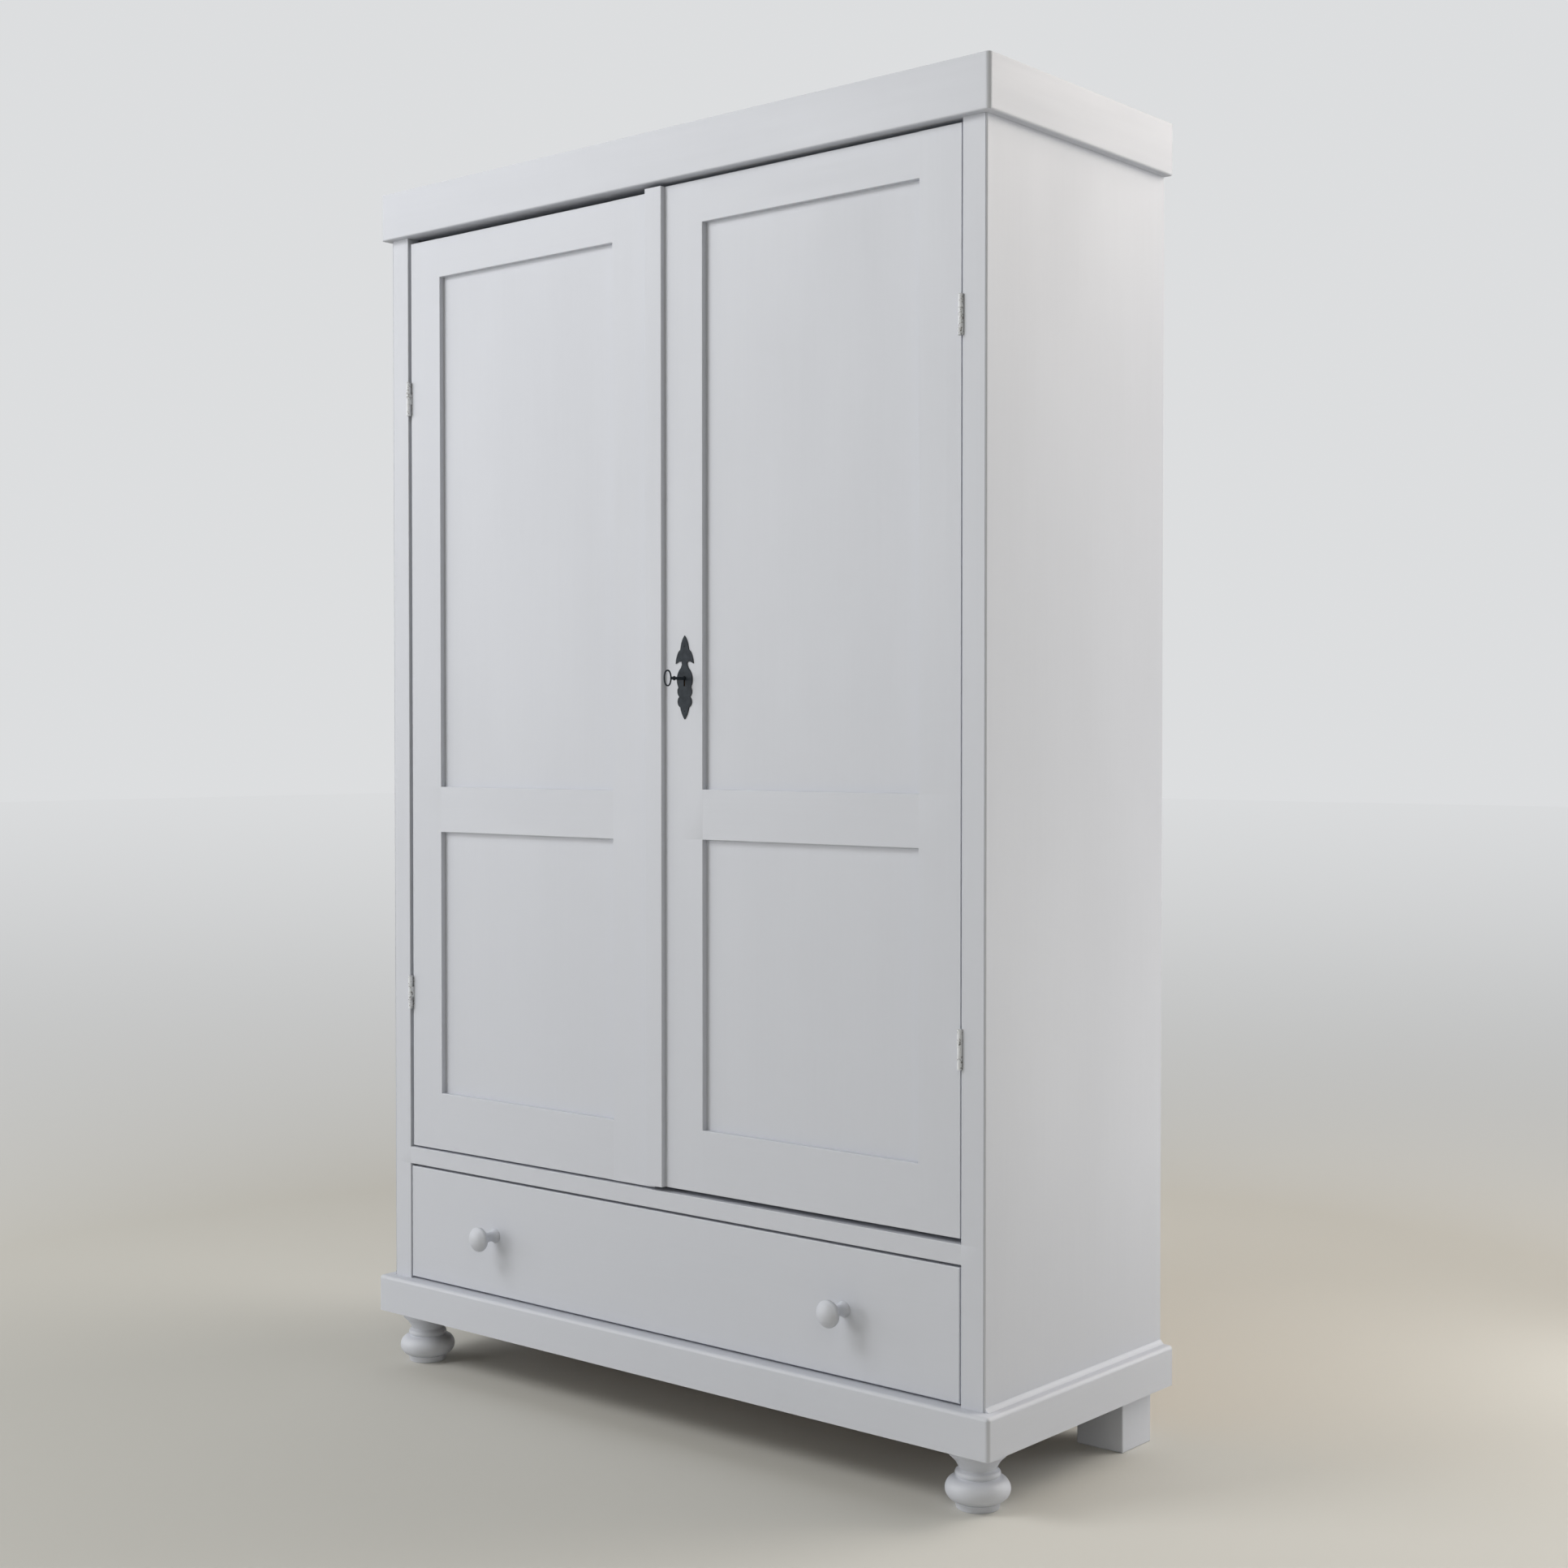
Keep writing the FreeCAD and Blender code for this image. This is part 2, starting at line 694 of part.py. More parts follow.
def bolt_socket(name, start_z, turn):
    return rod(name, "sizes.bolt_hole_radius", ("places.bolt_x", "places.bolt_y", start_z), turn,
               "sizes.bolt_hole_depth")


def bottom_board():
    """The board under the drawer, notched round the front stiles."""
    board = block("bottom_blank", (f"-({DADO_END})", DADO_END),
                  ("places.face_y", "places.back_board_y"),
                  ("places.bottom_lower", "places.plinth_top"))
    notches = [
        block(f"bottom_notch_{side}", mirrored(side, "places.opening_half", DADO_END),
              ("places.face_y", "places.stile_back_y"),
              ("places.bottom_lower", "places.plinth_top"))
        for side in ("left", "right")
    ]
    return piece(cut("bottom_board", board, notches), "bottom_board")


def shelf(label, height):
    """A shelf let into the sides, its front edge rounded."""
    body = sawn(label, (f"-({DADO_END})", DADO_END),
                ("places.face_y + sizes.shelf_setback", "places.back_board_y"),
                (f"{height} - sizes.shelf_thickness", height))
    doc.recompute()
    nose = body.newObject("PartDesign::Fillet", f"{label}_nose")
    pad = body.Group[1]

    def front(box):
        return box.XLength > 1 and box.YLength < 0.01 and abs(box.YMin) < 0.01

    nose.Base = (pad, [f"Edge{index}" for index in edges_where(pad.Shape, front)])
    nose.setExpression("Radius", "sizes.shelf_nose")
    body.Tip = nose


def back_boards():
    """Upright boards, tongued into each other, in the rebates of the sides."""
    outer = "(places.side_inner + sizes.back_rebate)"
    pitch = f"(2 * {outer} / {BACK_BOARDS})"
    y = ("places.back_board_y", "places.back_y")
    z = ("sizes.foot_height", "places.top_lower")
    tongue_y = around("places.back_y - sizes.back_thickness / 2", "sizes.tongue_thickness")
    groove_y = around("places.back_y - sizes.back_thickness / 2",
                      "sizes.tongue_thickness + 2 * sizes.tongue_fit")
    boards = []
    for index in range(BACK_BOARDS):
        name = f"back_board_{index + 1}"
        left = f"{pitch} * {index} - {outer}"
        right = f"{left} + {pitch}"
        if index < BACK_BOARDS - 1:
            right = f"{right} - sizes.back_board_gap"
        solids = [block(f"{name}_body", (left, right), y, z)]
        tools = []
        if index < BACK_BOARDS - 1:
            tongue_end = f"{right} + sizes.back_board_gap + sizes.tongue_depth"
            solids.append(block(f"{name}_tongue", (right, tongue_end), tongue_y, z))
        if index > 0:
            groove_end = f"{left} + sizes.tongue_depth + sizes.tongue_fit"
            tools.append(block(f"{name}_groove", (left, groove_end), groove_y, z))
        if index == BACK_BOARDS // 2:
            height = "sizes.tv_shelf_height + sizes.cable_hole_above_shelf"
            tools.append(rod(f"{name}_cable_hole", "sizes.cable_hole_radius",
                             ("0", y[0], height), "+y", "sizes.back_thickness"))
        solid = join(f"{name}_solid", solids) if len(solids) > 1 else solids[0]
        boards.append(cut(name, solid, tools) if tools else solid)
    return piece(group("back_boards", boards), "back_boards")


def moulding(name, overhang, z, radius, rounded_top):
    """Three boards mitred round the front and the sides, worked from one rounded block."""
    outer = f"places.half_width + {overhang}"
    envelope = block(f"{name}_envelope", (f"-({outer})", outer),
                     (f"places.face_y - {overhang}", "places.back_y"), z)
    front = number(f"places.face_y - {overhang}")
    back = number("places.back_y")
    level = number(z[1] if rounded_top else z[0])

    def worked(box):
        upright = box.ZLength > 1 and abs(box.YMin - front) < 0.01
        flat = box.ZLength < 0.01 and abs(box.ZMin - level) < 0.01
        return upright or (flat and not abs(box.YMin - back) < 0.01)

    shell = soften(f"{name}_shell", envelope, radius, worked)
    core = block(f"{name}_core", ("-places.half_width", "places.half_width"),
                 ("places.face_y", f"places.back_y + {overhang}"),
                 (f"{z[0]} - {overhang}", f"{z[1]} + {overhang}"))
    ring = cut(f"{name}_ring", shell, [core])
    reach = "places.half_width"
    wedges = {}
    for side, sign, angle in (("right", 1, 45), ("left", -1, 135)):
        wedge = doc.addObject("Part::Box", f"{name}_{side}_wedge")
        wedge.Placement = Placement(Vector(), Rotation(Vector(0, 0, 1), angle))
        shift = f"{reach} / sqrt(2)"
        if side == "right":
            corner = (f"{reach} + {shift}", f"places.face_y - {shift}")
        else:
            corner = (f"-{reach} + {shift}", f"places.face_y + {shift}")
        wedge.setExpression("Placement.Base.x", corner[0])
        wedge.setExpression("Placement.Base.y", corner[1])
        wedge.setExpression("Placement.Base.z", f"{z[0]} - {overhang}")
        wedge.setExpression("Length", reach)
        wedge.setExpression("Width", f"2 * {reach}")
        wedge.setExpression("Height", f"{z[1]} - ({z[0]}) + 2 * {overhang}")
        wedges[side] = wedge
    piece(cut(f"{name}_front", ring, [wedges["left"], wedges["right"]]), f"{name}_front")
    for side, wedge in wedges.items():
        board = doc.addObject("Part::Common", f"{name}_{side}")
        board.Base = ring
        board.Tool = wedge
        board.Refine = True
        piece(board, f"{name}_{side}")


def turned_foot(side):
    """Base ring, bun, bead, neck and a coved cap, with a spigot into the carcass corner."""
    top = "sizes.foot_height"
    spigot_top = "places.bottom_lower"
    outline = [
        ("0", "0"),
        ("sizes.foot_ring_base_radius", "0"),
        ("sizes.foot_ring_radius", "sizes.foot_ring_height", "sizes.foot_bun_rise", -1),
        ("sizes.foot_bun_top_radius", "sizes.foot_bun_top"),
        ("sizes.foot_bead_radius", "sizes.foot_bun_top", "sizes.foot_bead_rise", -1),
        ("sizes.foot_bead_radius", "sizes.foot_bead_top"),
        ("sizes.foot_neck_radius", "sizes.foot_neck_height", "sizes.foot_cove_rise", 1),
        ("sizes.foot_cap_radius", "sizes.foot_cove_top"),
        ("sizes.foot_cap_radius", top),
        ("sizes.foot_spigot_radius", top),
        ("sizes.foot_spigot_radius", spigot_top),
        ("0", spigot_top),
    ]
    at = (on_side(side, "places.half_width - sizes.foot_inset"),
          "places.face_y + sizes.foot_inset", "0")
    turned(f"front_{side}_foot", outline, at, "+z")


def square_foot(side):
    """A square post, its upper part thinned to stand inside the side panel."""
    outer = "places.half_width - sizes.back_foot_side_inset"
    inner = f"{outer} - sizes.back_foot_width"
    back = "places.back_y - sizes.back_foot_back_inset"
    y = (f"{back} - sizes.back_foot_width", back)
    lower = block(f"back_{side}_foot_lower", mirrored(side, inner, outer), y,
                  ("0", "sizes.foot_height"))
    upper = block(f"back_{side}_foot_upper", mirrored(side, inner, "places.side_inner"), y,
                  ("sizes.foot_height", "places.bottom_lower"))
    piece(join(f"back_{side}_foot", [lower, upper]), f"back_{side}_foot")


def drawer_guide(side):
    """The strip that keeps the drawer in line behind the front stile."""
    label = f"{side}_drawer_guide"
    sawn(label,
         mirrored(side, "places.drawer_half + sizes.drawer_guide_gap", "places.side_inner"),
         ("places.stile_back_y", "places.back_board_y"),
         ("places.plinth_top", "places.plinth_top + sizes.guide_height"))


def carcass():
    halves = []
    for side in ("left", "right"):
        fixed, tools = frame_hinges(side)
        halves.extend(fixed)
        side_panel(side)
        front_stile(side, tools)
        turned_foot(side)
        square_foot(side)
        drawer_guide(side)
    piece(group("frame_hinge_halves", halves), "frame_hinge_halves")
    face_rail("top_front_rail", TOP_RAIL,
              bolt_socket("top_bolt_socket", "places.cornice_bottom", "+z"))
    face_rail("middle_front_rail", MIDDLE_RAIL,
              bolt_socket("bottom_bolt_socket", "places.rail_top", "-z"))
    sawn("top_board", ("-places.half_width", "places.half_width"),
         ("places.face_y", "places.back_y"), ("places.top_lower", "places.top_upper"))
    sawn("cabinet_floor", (f"-({DADO_END})", DADO_END),
         ("places.rail_back_y", "places.back_board_y"), ("places.floor_lower", "places.rail_top"))
    bottom_board()
    for name, height in SHELVES.items():
        shelf(name, height)
    back_boards()
    moulding("cornice", "sizes.cornice_overhang", ("places.cornice_bottom", "sizes.overall_height"),
             "sizes.cornice_round", False)
    moulding("plinth", "sizes.plinth_overhang", ("sizes.foot_height", "places.plinth_top"),
             "sizes.plinth_round", True)


# ------------------------------------------------------------------ doors
def door_rails(side):
    """Bottom and top of each rail, and which of its edges hold a panel."""
    base = f"places.{side}_door_z"
    top = f"places.{side}_door_top_z"
    lock = f"{base} + sizes.lock_rail_height"
    return {
        "bottom_rail": (base, f"{base} + sizes.door_bottom_rail_width", False, True),
        "lock_rail": (lock, f"{lock} + sizes.door_lock_rail_width", True, True),
        "top_rail": (f"{top} - sizes.door_top_rail_width", top, True, False),
    }


def door_layers(side):
    """The y ranges of the frame and of the panels, which lie in its grooves."""
    face = f"places.{side}_door_y"
    panel = f"{face} + sizes.panel_recess"
    return (face, f"{face} + sizes.door_thickness"), (panel, f"{panel} + sizes.panel_thickness")


def door_columns(side):
    """Where the closing stile ends and the hinge stile begins, from the middle."""
    edge = "places.left_edge" if side == "left" else "places.right_door_start"
    outer = f"places.{side}_door_outer"
    return edge, f"{edge} + sizes.{side}_closing_stile_width", \
        f"{outer} - sizes.hinge_stile_width", outer


def rail_tenon_z(rail):
    low, high, below, above = rail
    return f"{low} + sizes.groove_depth", f"{high} - sizes.groove_depth"


def door_stile(label, side, x, inner_edge, outwards_step, tools):
    """An upright with the panel groove and a mortise for each rail on its inner edge."""
    frame_y, panel_y = door_layers(side)
    rails = door_rails(side)
    blank = block(f"{label}_blank", mirrored(side, *x), frame_y,
                  (rails["bottom_rail"][0], rails["top_rail"][1]))

    def from_edge(depth):
        reach = f"{inner_edge} {outwards_step} ({depth})"
        return (inner_edge, reach) if outwards_step == "+" else (reach, inner_edge)

    groove_z = (f"{rails['bottom_rail'][1]} - sizes.groove_depth",
                f"{rails['top_rail'][0]} + sizes.groove_depth")
    cuts = [block(f"{label}_groove", mirrored(side, *from_edge("sizes.groove_depth")), panel_y,
                  groove_z)]
    depth = "sizes.door_tenon_length + sizes.tenon_end_room"
    for name, rail in rails.items():
        cuts.append(block(f"{label}_{name}_mortise", mirrored(side, *from_edge(depth)), panel_y,
                          rail_tenon_z(rail)))
    return piece(cut(label, blank, [*cuts, *tools]), label)


def door_rail(side, name, rail, tools):
    """A rail with a tenon at each end and a groove in each edge that holds a panel."""
    label = f"{side}_door_{name}"
    low, high, below, above = rail
    edge, start, end, outer = door_columns(side)
    frame_y, panel_y = door_layers(side)
    body = block(f"{label}_body", mirrored(side, start, end), frame_y, (low, high))
    tenon_x = (f"{start} - sizes.door_tenon_length", f"{end} + sizes.door_tenon_length")
    tenon = block(f"{label}_tenon", mirrored(side, *tenon_x), panel_y, rail_tenon_z(rail))
    cuts = list(tools)
    if below:
        cuts.append(block(f"{label}_groove_below", mirrored(side, start, end), panel_y,
                          (low, f"{low} + sizes.groove_depth")))
    if above:
        cuts.append(block(f"{label}_groove_above", mirrored(side, start, end), panel_y,
                          (f"{high} - sizes.groove_depth", high)))
    return piece(cut(label, join(f"{label}_solid", [body, tenon]), cuts), label)


def door_panel(side, name, low, high):
    """A flat panel whose four edges lie in the grooves."""
    edge, start, end, outer = door_columns(side)
    panel_y = door_layers(side)[1]
    sawn(f"{side}_door_{name}_panel",
         mirrored(side, f"{start} - sizes.panel_tongue", f"{end} + sizes.panel_tongue"), panel_y,
         (f"{low} - sizes.panel_tongue", f"{high} + sizes.panel_tongue"))


def door(side, closing_tools, rail_tools):
    """Stiles, rails and panels; rail_tools holds what is cut from a rail, by its name."""
    edge, start, end, outer = door_columns(side)
    rails = door_rails(side)
    door_stile(f"{side}_door_hinge_stile", side, (end, outer), end, "+", door_hinges(side))
    door_stile(f"{side}_door_closing_stile", side, (edge, start), start, "-", closing_tools)
    for name, rail in rails.items():
        door_rail(side, name, rail, rail_tools.get(name, []))
    door_panel(side, "lower", rails["bottom_rail"][1], rails["lock_rail"][0])
    door_panel(side, "upper", rails["lock_rail"][1], rails["top_rail"][0])


# ------------------------------------------------------------------ surface bolts of the left door
BOLT_ENDS = {"top": ("places.left_door_top_z", "-", "+z"), "bottom": ("places.left_door_z", "+", "-z")}


def bolt_plate(end):
    """A plate with two guides, and the holes of its two screws."""
    base, back, forth = BOLT_ENDS[end]
    name = f"{end}_bolt_plate"
    y = ("places.left_door_back_y", "places.left_door_back_y + sizes.bolt_plate_thickness")

    def span(near, length):
        start = f"{base} {back} ({near})"
        finish = f"{base} {back} ({near} + {length})"
        return (start, finish) if back == "+" else (finish, start)

    near = "sizes.bolt_plate_end"
    plate = block(f"{name}_sheet", around("places.bolt_x", "sizes.bolt_plate_width"), y,
                  span(near, "sizes.bolt_plate_length"))
    guide_y = (y[0], "places.bolt_y + sizes.bolt_radius + 2 * sizes.bolt_plate_thickness")
    first = f"{near} + sizes.bolt_guide_margin"
    last = f"{near} + sizes.bolt_plate_length - sizes.bolt_guide_margin - sizes.bolt_guide_length"
    guides = [
        block(f"{name}_guide_{index}", around("places.bolt_x", "sizes.bolt_guide_width"), guide_y,
              span(start, "sizes.bolt_guide_length"))
        for index, start in enumerate((first, last), start=1)
    ]
    bore_start = span(near, "sizes.bolt_plate_length")[0]
    bore = rod(f"{name}_bore", "sizes.bolt_radius + sizes.bolt_fit",
               ("places.bolt_x", "places.bolt_y", bore_start), "+z", "sizes.bolt_plate_length")
    holes = []
    for share, sign in ((0.35, "-"), (0.65, "+")):
        x = f"places.bolt_x {sign} sizes.bolt_plate_width / 3"
        z = f"{base} {back} ({near} + {share} * sizes.bolt_plate_length)"
        holes.append(door_screws["left"].drive((x, y[1], z), "-y"))
    return cut(name, join(f"{name}_solid", [plate, *guides]), [bore, *holes]), holes


def surface_bolt(end):
    """A round bolt with a finger knob, drawn back flush with the door's edge."""
    base, back, forth = BOLT_ENDS[end]
    label = f"left_{end}_bolt"
    tip = f"{base} {back} sizes.bolt_tip_back"
    other = f"{tip} {back} sizes.bolt_length"
    start = tip if back == "+" else other
    shaft = rod(f"{label}_shaft", "sizes.bolt_radius", ("places.bolt_x", "places.bolt_y", start),
                "+z", "sizes.bolt_length")
    knob = rod(f"{label}_knob", "sizes.bolt_knob_radius",
               ("places.bolt_x", "places.bolt_y", f"{tip} {back} sizes.bolt_knob_from_tip"), "+y",
               "sizes.bolt_knob_reach")
    piece(join(label, [shaft, knob]), label)


# ------------------------------------------------------------------ lock, key and escutcheon
def keyhole(name, radius, slot_width, slot_depth, y):
    """A round hole with a slot below it, between two planes of y."""
    length = f"{y[1]} - ({y[0]})"
    hole = rod(f"{name}_round", radius, ("places.lock_x", y[0], "places.lock_z"), "+y", length)
    slot = block(f"{name}_slot", around("places.lock_x", slot_width), y,
                 (f"places.lock_z - {slot_depth}", "places.lock_z"))
    return join(name, [hole, slot])


def wide_keyhole(name, y):
    return keyhole(name, "sizes.keyhole_radius", "sizes.keyhole_slot_width",
                   "sizes.keyhole_slot_depth", y)


LOCK_X = ("places.right_door_start", "places.right_door_start + sizes.lock_case_width")
LOCK_Y = ("places.right_door_back_y", "places.right_door_back_y + sizes.lock_case_depth")
LOCK_Z = ("places.lock_z - sizes.lock_case_below", "places.lock_z + sizes.lock_case_above")
CAVITY_Y = (f"{LOCK_Y[0]} + sizes.lock_wall", f"{LOCK_Y[1]} - sizes.lock_wall")
LOCK_BOLT_Z = ("places.lock_z + sizes.lock_bolt_above_key",
               "places.lock_z + sizes.lock_bolt_above_key + sizes.lock_bolt_height")
LOCK_BOLT_Y = (f"{CAVITY_Y[0]} + sizes.lock_bolt_set_back",
               f"{CAVITY_Y[0]} + sizes.lock_bolt_set_back + sizes.lock_bolt_thickness")


def lock_case():
    """A hollow box on a flange, with slots for the key and the bolt; returns its screw holes."""
    box = block("lock_box", LOCK_X, LOCK_Y, LOCK_Z)
    flange = block("lock_flange", LOCK_X, (LOCK_Y[0], CAVITY_Y[0]),
                   (f"{LOCK_Z[0]} - sizes.lock_flange", f"{LOCK_Z[1]} + sizes.lock_flange"))
    wall = "sizes.lock_wall"
    cavity = block("lock_cavity", (f"{LOCK_X[0]} + {wall}", f"{LOCK_X[1]} - {wall}"), CAVITY_Y,
                   (f"{LOCK_Z[0]} + {wall}", f"{LOCK_Z[1]} - {wall}"))
    fit = "sizes.lock_bolt_fit"
    slot = block("lock_bolt_slot", (LOCK_X[0], f"{LOCK_X[0]} + {wall}"),
                 (f"{LOCK_BOLT_Y[0]} - {fit}", f"{LOCK_BOLT_Y[1]} + {fit}"),
                 (f"{LOCK_BOLT_Z[0]} - {fit}", f"{LOCK_BOLT_Z[1]} + {fit}"))
    front = wide_keyhole("lock_front_keyhole", (LOCK_Y[0], CAVITY_Y[0]))
    rear = rod("lock_rear_bearing", "sizes.key_shaft_radius + sizes.key_fit",
               ("places.lock_x", CAVITY_Y[1], "places.lock_z"), "+y", wall)
    middle = "sizes.lock_flange / 2"
    holes = []
    for x in (f"{LOCK_X[0]} + sizes.lock_flange", f"{LOCK_X[1]} - sizes.lock_flange"):
        for z in (f"{LOCK_Z[0]} - {middle}", f"{LOCK_Z[1]} + {middle}"):
            holes.append(door_screws["right"].drive((x, CAVITY_Y[0], z), "-y"))
    solid = join("lock_solid", [box, flange])
    piece(cut("lock_case", solid, [cavity, slot, front, rear, *holes]), "lock_case")
    return holes


def lock_bolt():
    """A flat bolt with a talon notch that the key works in."""
    bar = block("lock_bolt_bar", (LOCK_X[0], f"{LOCK_X[0]} + sizes.lock_bolt_length"), LOCK_BOLT_Y,
                LOCK_BOLT_Z)
    middle = "places.lock_x + sizes.lock_bolt_throw / 2"
    talon = block("lock_bolt_talon", around(middle, "sizes.talon_width"), LOCK_BOLT_Y,
                  (LOCK_BOLT_Z[0], f"{LOCK_BOLT_Z[0]} + sizes.talon_depth"))
    piece(cut("lock_bolt", bar, [talon]), "lock_bolt")


def key():
    """A shaft with a bit inside the lock and an oval wire bow outside."""
    bow_front = "places.face_y - sizes.key_reach"
    bow_y = f"{bow_front} + sizes.key_bow_length / 2"
    long_half = "sizes.key_bow_height / 2 - sizes.key_wire_radius"
    short_half = "sizes.key_bow_length / 2 - sizes.key_wire_radius"
    spine = doc.addObject("Part::Ellipse", "key_bow_line")
    set_place(spine, ("places.lock_x", bow_y, "places.lock_z"), "-x")
    spine.setExpression("MajorRadius", long_half)
    spine.setExpression("MinorRadius", short_half)
    section = doc.addObject("Part::Circle", "key_bow_section")
    set_place(section, ("places.lock_x", bow_y, f"places.lock_z + {long_half}"), "-y")
    section.setExpression("Radius", "sizes.key_wire_radius")
    # the wire's seam runs round the inside of the bow, clear of the shaft
    section.Placement = Placement(Vector(), TURNS["-y"] * Rotation(Vector(0, 0, 1), -90))
    bow = doc.addObject("Part::Sweep", "key_bow")
    bow.Sections = [section]
    bow.Spine = (spine, ["Edge1"])
    bow.Solid = True
    shaft_y = f"{bow_front} + sizes.key_bow_length - sizes.key_wire_radius"
    shaft = rod("key_shaft", "sizes.key_shaft_radius", ("places.lock_x", shaft_y, "places.lock_z"),
                "+y", f"{LOCK_Y[1]} - ({shaft_y})")
    bit = block("key_bit", around("places.lock_x", "sizes.key_bit_thickness"),
                around(f"({LOCK_BOLT_Y[0]} + {LOCK_BOLT_Y[1]}) / 2", "sizes.key_bit_length"),
                (f"places.lock_z - sizes.key_shaft_radius - sizes.key_bit_height",
                 "places.lock_z"))
    piece(join("key", [bow, shaft, bit]), "key")


def spear_point(across, height, lobe):
    place = (f"{across} * sizes.plate_half_width", f"{height} * sizes.plate_height")
    return (*place, f"{lobe[0]} * sizes.plate_half_width", -1) if lobe else place


def escutcheon():
    """The spear-shaped lock plate, cut from sheet, with its keyhole and nail holes."""
    body = doc.addObject("PartDesign::Body", "escutcheon_blank")
    sketch = new_sketch(body, "escutcheon_outline", "XZ_Plane")
    right = [spear_point(1 + point[0], point[1], point[2:]) for point in SPEAR[:-1]]
    left = [spear_point(1 - point[0], point[1], below[2:])
            for point, below in zip(SPEAR[:0:-1], SPEAR[-2::-1])]
    draw_outline(sketch, right + left)
    pad = body.newObject("PartDesign::Pad", "escutcheon_sheet")
    pad.Profile = sketch
    pad.setExpression("Length", "sizes.plate_thickness")
    body.Tip = pad
    set_place(body, ("places.lock_x - sizes.plate_half_width", "places.right_door_y",
                     f"places.lock_z - {SPEAR_KEYHOLE} * sizes.plate_height"))
    y = ("places.right_door_y - sizes.plate_thickness", "places.right_door_y")
    hole = keyhole("escutcheon_keyhole", "sizes.plate_keyhole_radius", "sizes.plate_slot_width",
                   "sizes.plate_slot_depth", y)
    nails, nail_holes = [], []
    for index, height in enumerate(SPEAR_NAILS, start=1):
        spot = f"places.lock_z + ({height} - {SPEAR_KEYHOLE}) * sizes.plate_height"
        at = ("places.lock_x", y[0], spot)
        shank = rod(f"nail_{index}_shank", "sizes.nail_radius / 2", at, "+y", "sizes.nail_length")
        head = taper(f"nail_{index}_head", ("sizes.nail_radius", "sizes.nail_radius / 2"), at, "-y",
                     "sizes.nail_head")
        nails.append(join(f"nail_{index}", [shank, head]))
        nail_holes.append(rod(f"nail_{index}_hole", "sizes.nail_radius / 2 + sizes.screw_fit", at,
                              "+y", "sizes.nail_length + sizes.screw_fit"))
    piece(cut("escutcheon_plate", body, [hole, *nail_holes]), "escutcheon")
    piece(group("escutcheon_nails", nails), "escutcheon_nails")
    return nail_holes


def closing_strip():
    """The strip on the right door that covers the gap between the doors."""
    y = ("places.right_door_y - sizes.strip_thickness", "places.right_door_y")
    blank = block("strip_blank", around("0", "sizes.strip_width"), y,
                  ("places.right_door_z", "places.right_door_top_z"))
    front = number(y[0])

    def arris(box):
        return box.ZLength > 1 and box.YLength < 0.01 and abs(box.YMin - front) < 0.01

    piece(soften("closing_strip", blank, "sizes.strip_round", arris), "closing_strip")


# ------------------------------------------------------------------ drawer
def knob_outline():
    """Spigot, base, neck and a domed head with a rounded rim."""
    face = "sizes.knob_spigot_length"
    head = f"{face} + sizes.knob_head_height"
    rim = "(sizes.knob_head_radius - sizes.knob_rim_rise)"
    crown = "(sizes.knob_projection - sizes.knob_head_height - sizes.knob_head_thickness)"
    ball = f"(({rim} ^ 2 + {crown} ^ 2) / (2 * {crown}))"
    crown_rise = f"{ball} - sqrt({ball} ^ 2 - ({rim} ^ 2 + {crown} ^ 2) / 4)"
    return [
        ("0", "0"),
        ("sizes.knob_spigot_radius", "0"),
        ("sizes.knob_spigot_radius", face),
        ("sizes.knob_base_radius", face, "sizes.knob_base_rise", 1),
        ("sizes.knob_neck_radius", f"{face} + sizes.knob_neck_height", "sizes.knob_under_rise", 1),
        (rim, head, "sizes.knob_rim_rise", -1),
        (rim, f"{head} + sizes.knob_head_thickness", crown_rise, -1),
        ("0", f"{face} + sizes.knob_projection"),
    ]


def drawer_knob(side):
    """A turned knob; returns the hole that its spigot fits."""
    x = on_side(side, "sizes.knob_spacing / 2")
    at = (x, "places.drawer_y + sizes.knob_spigot_length", "places.knob_z")
    turned(f"{side}_drawer_knob", knob_outline(), at, "-y")
    return rod(f"{side}_knob_hole", "sizes.knob_spigot_radius + sizes.knob_fit",
               (x, "places.drawer_y", "places.knob_z"), "+y",
               "sizes.knob_spigot_length + sizes.knob_fit")


def drawer_front(knob_holes):
    """The inset front, lapped over the sides and grooved for the bottom."""
    x = ("places.drawer_front_left", "places.drawer_front_right")
    y = ("places.drawer_y", "places.drawer_front_back_y")
    z = ("places.drawer_front_z", "places.drawer_front_top_z")
    blank = block("drawer_front_blank", x, y, z)
    face = number(y[0])

    def arris(box):
        return box.YLength < 0.01 and abs(box.YMin - face) < 0.01

    rounded = soften("drawer_front_rounded", blank, "sizes.drawer_front_round", arris)
    laps = [
        block(f"drawer_front_lap_{side}",
              mirrored(side, "places.drawer_side_inner", "places.opening_half"),
              ("places.drawer_y + sizes.drawer_lap", y[1]), z)
        for side in ("left", "right")
    ]
    groove_end = "places.drawer_side_inner"
    groove = block("drawer_front_groove", (f"-{groove_end}", groove_end),
                   (f"{y[1]} - sizes.drawer_groove_depth", y[1]),
                   ("places.drawer_bottom_z", "places.drawer_bottom_top_z"))
    piece(cut("drawer_front", rounded, [*laps, groove, *knob_holes]), "drawer_front")


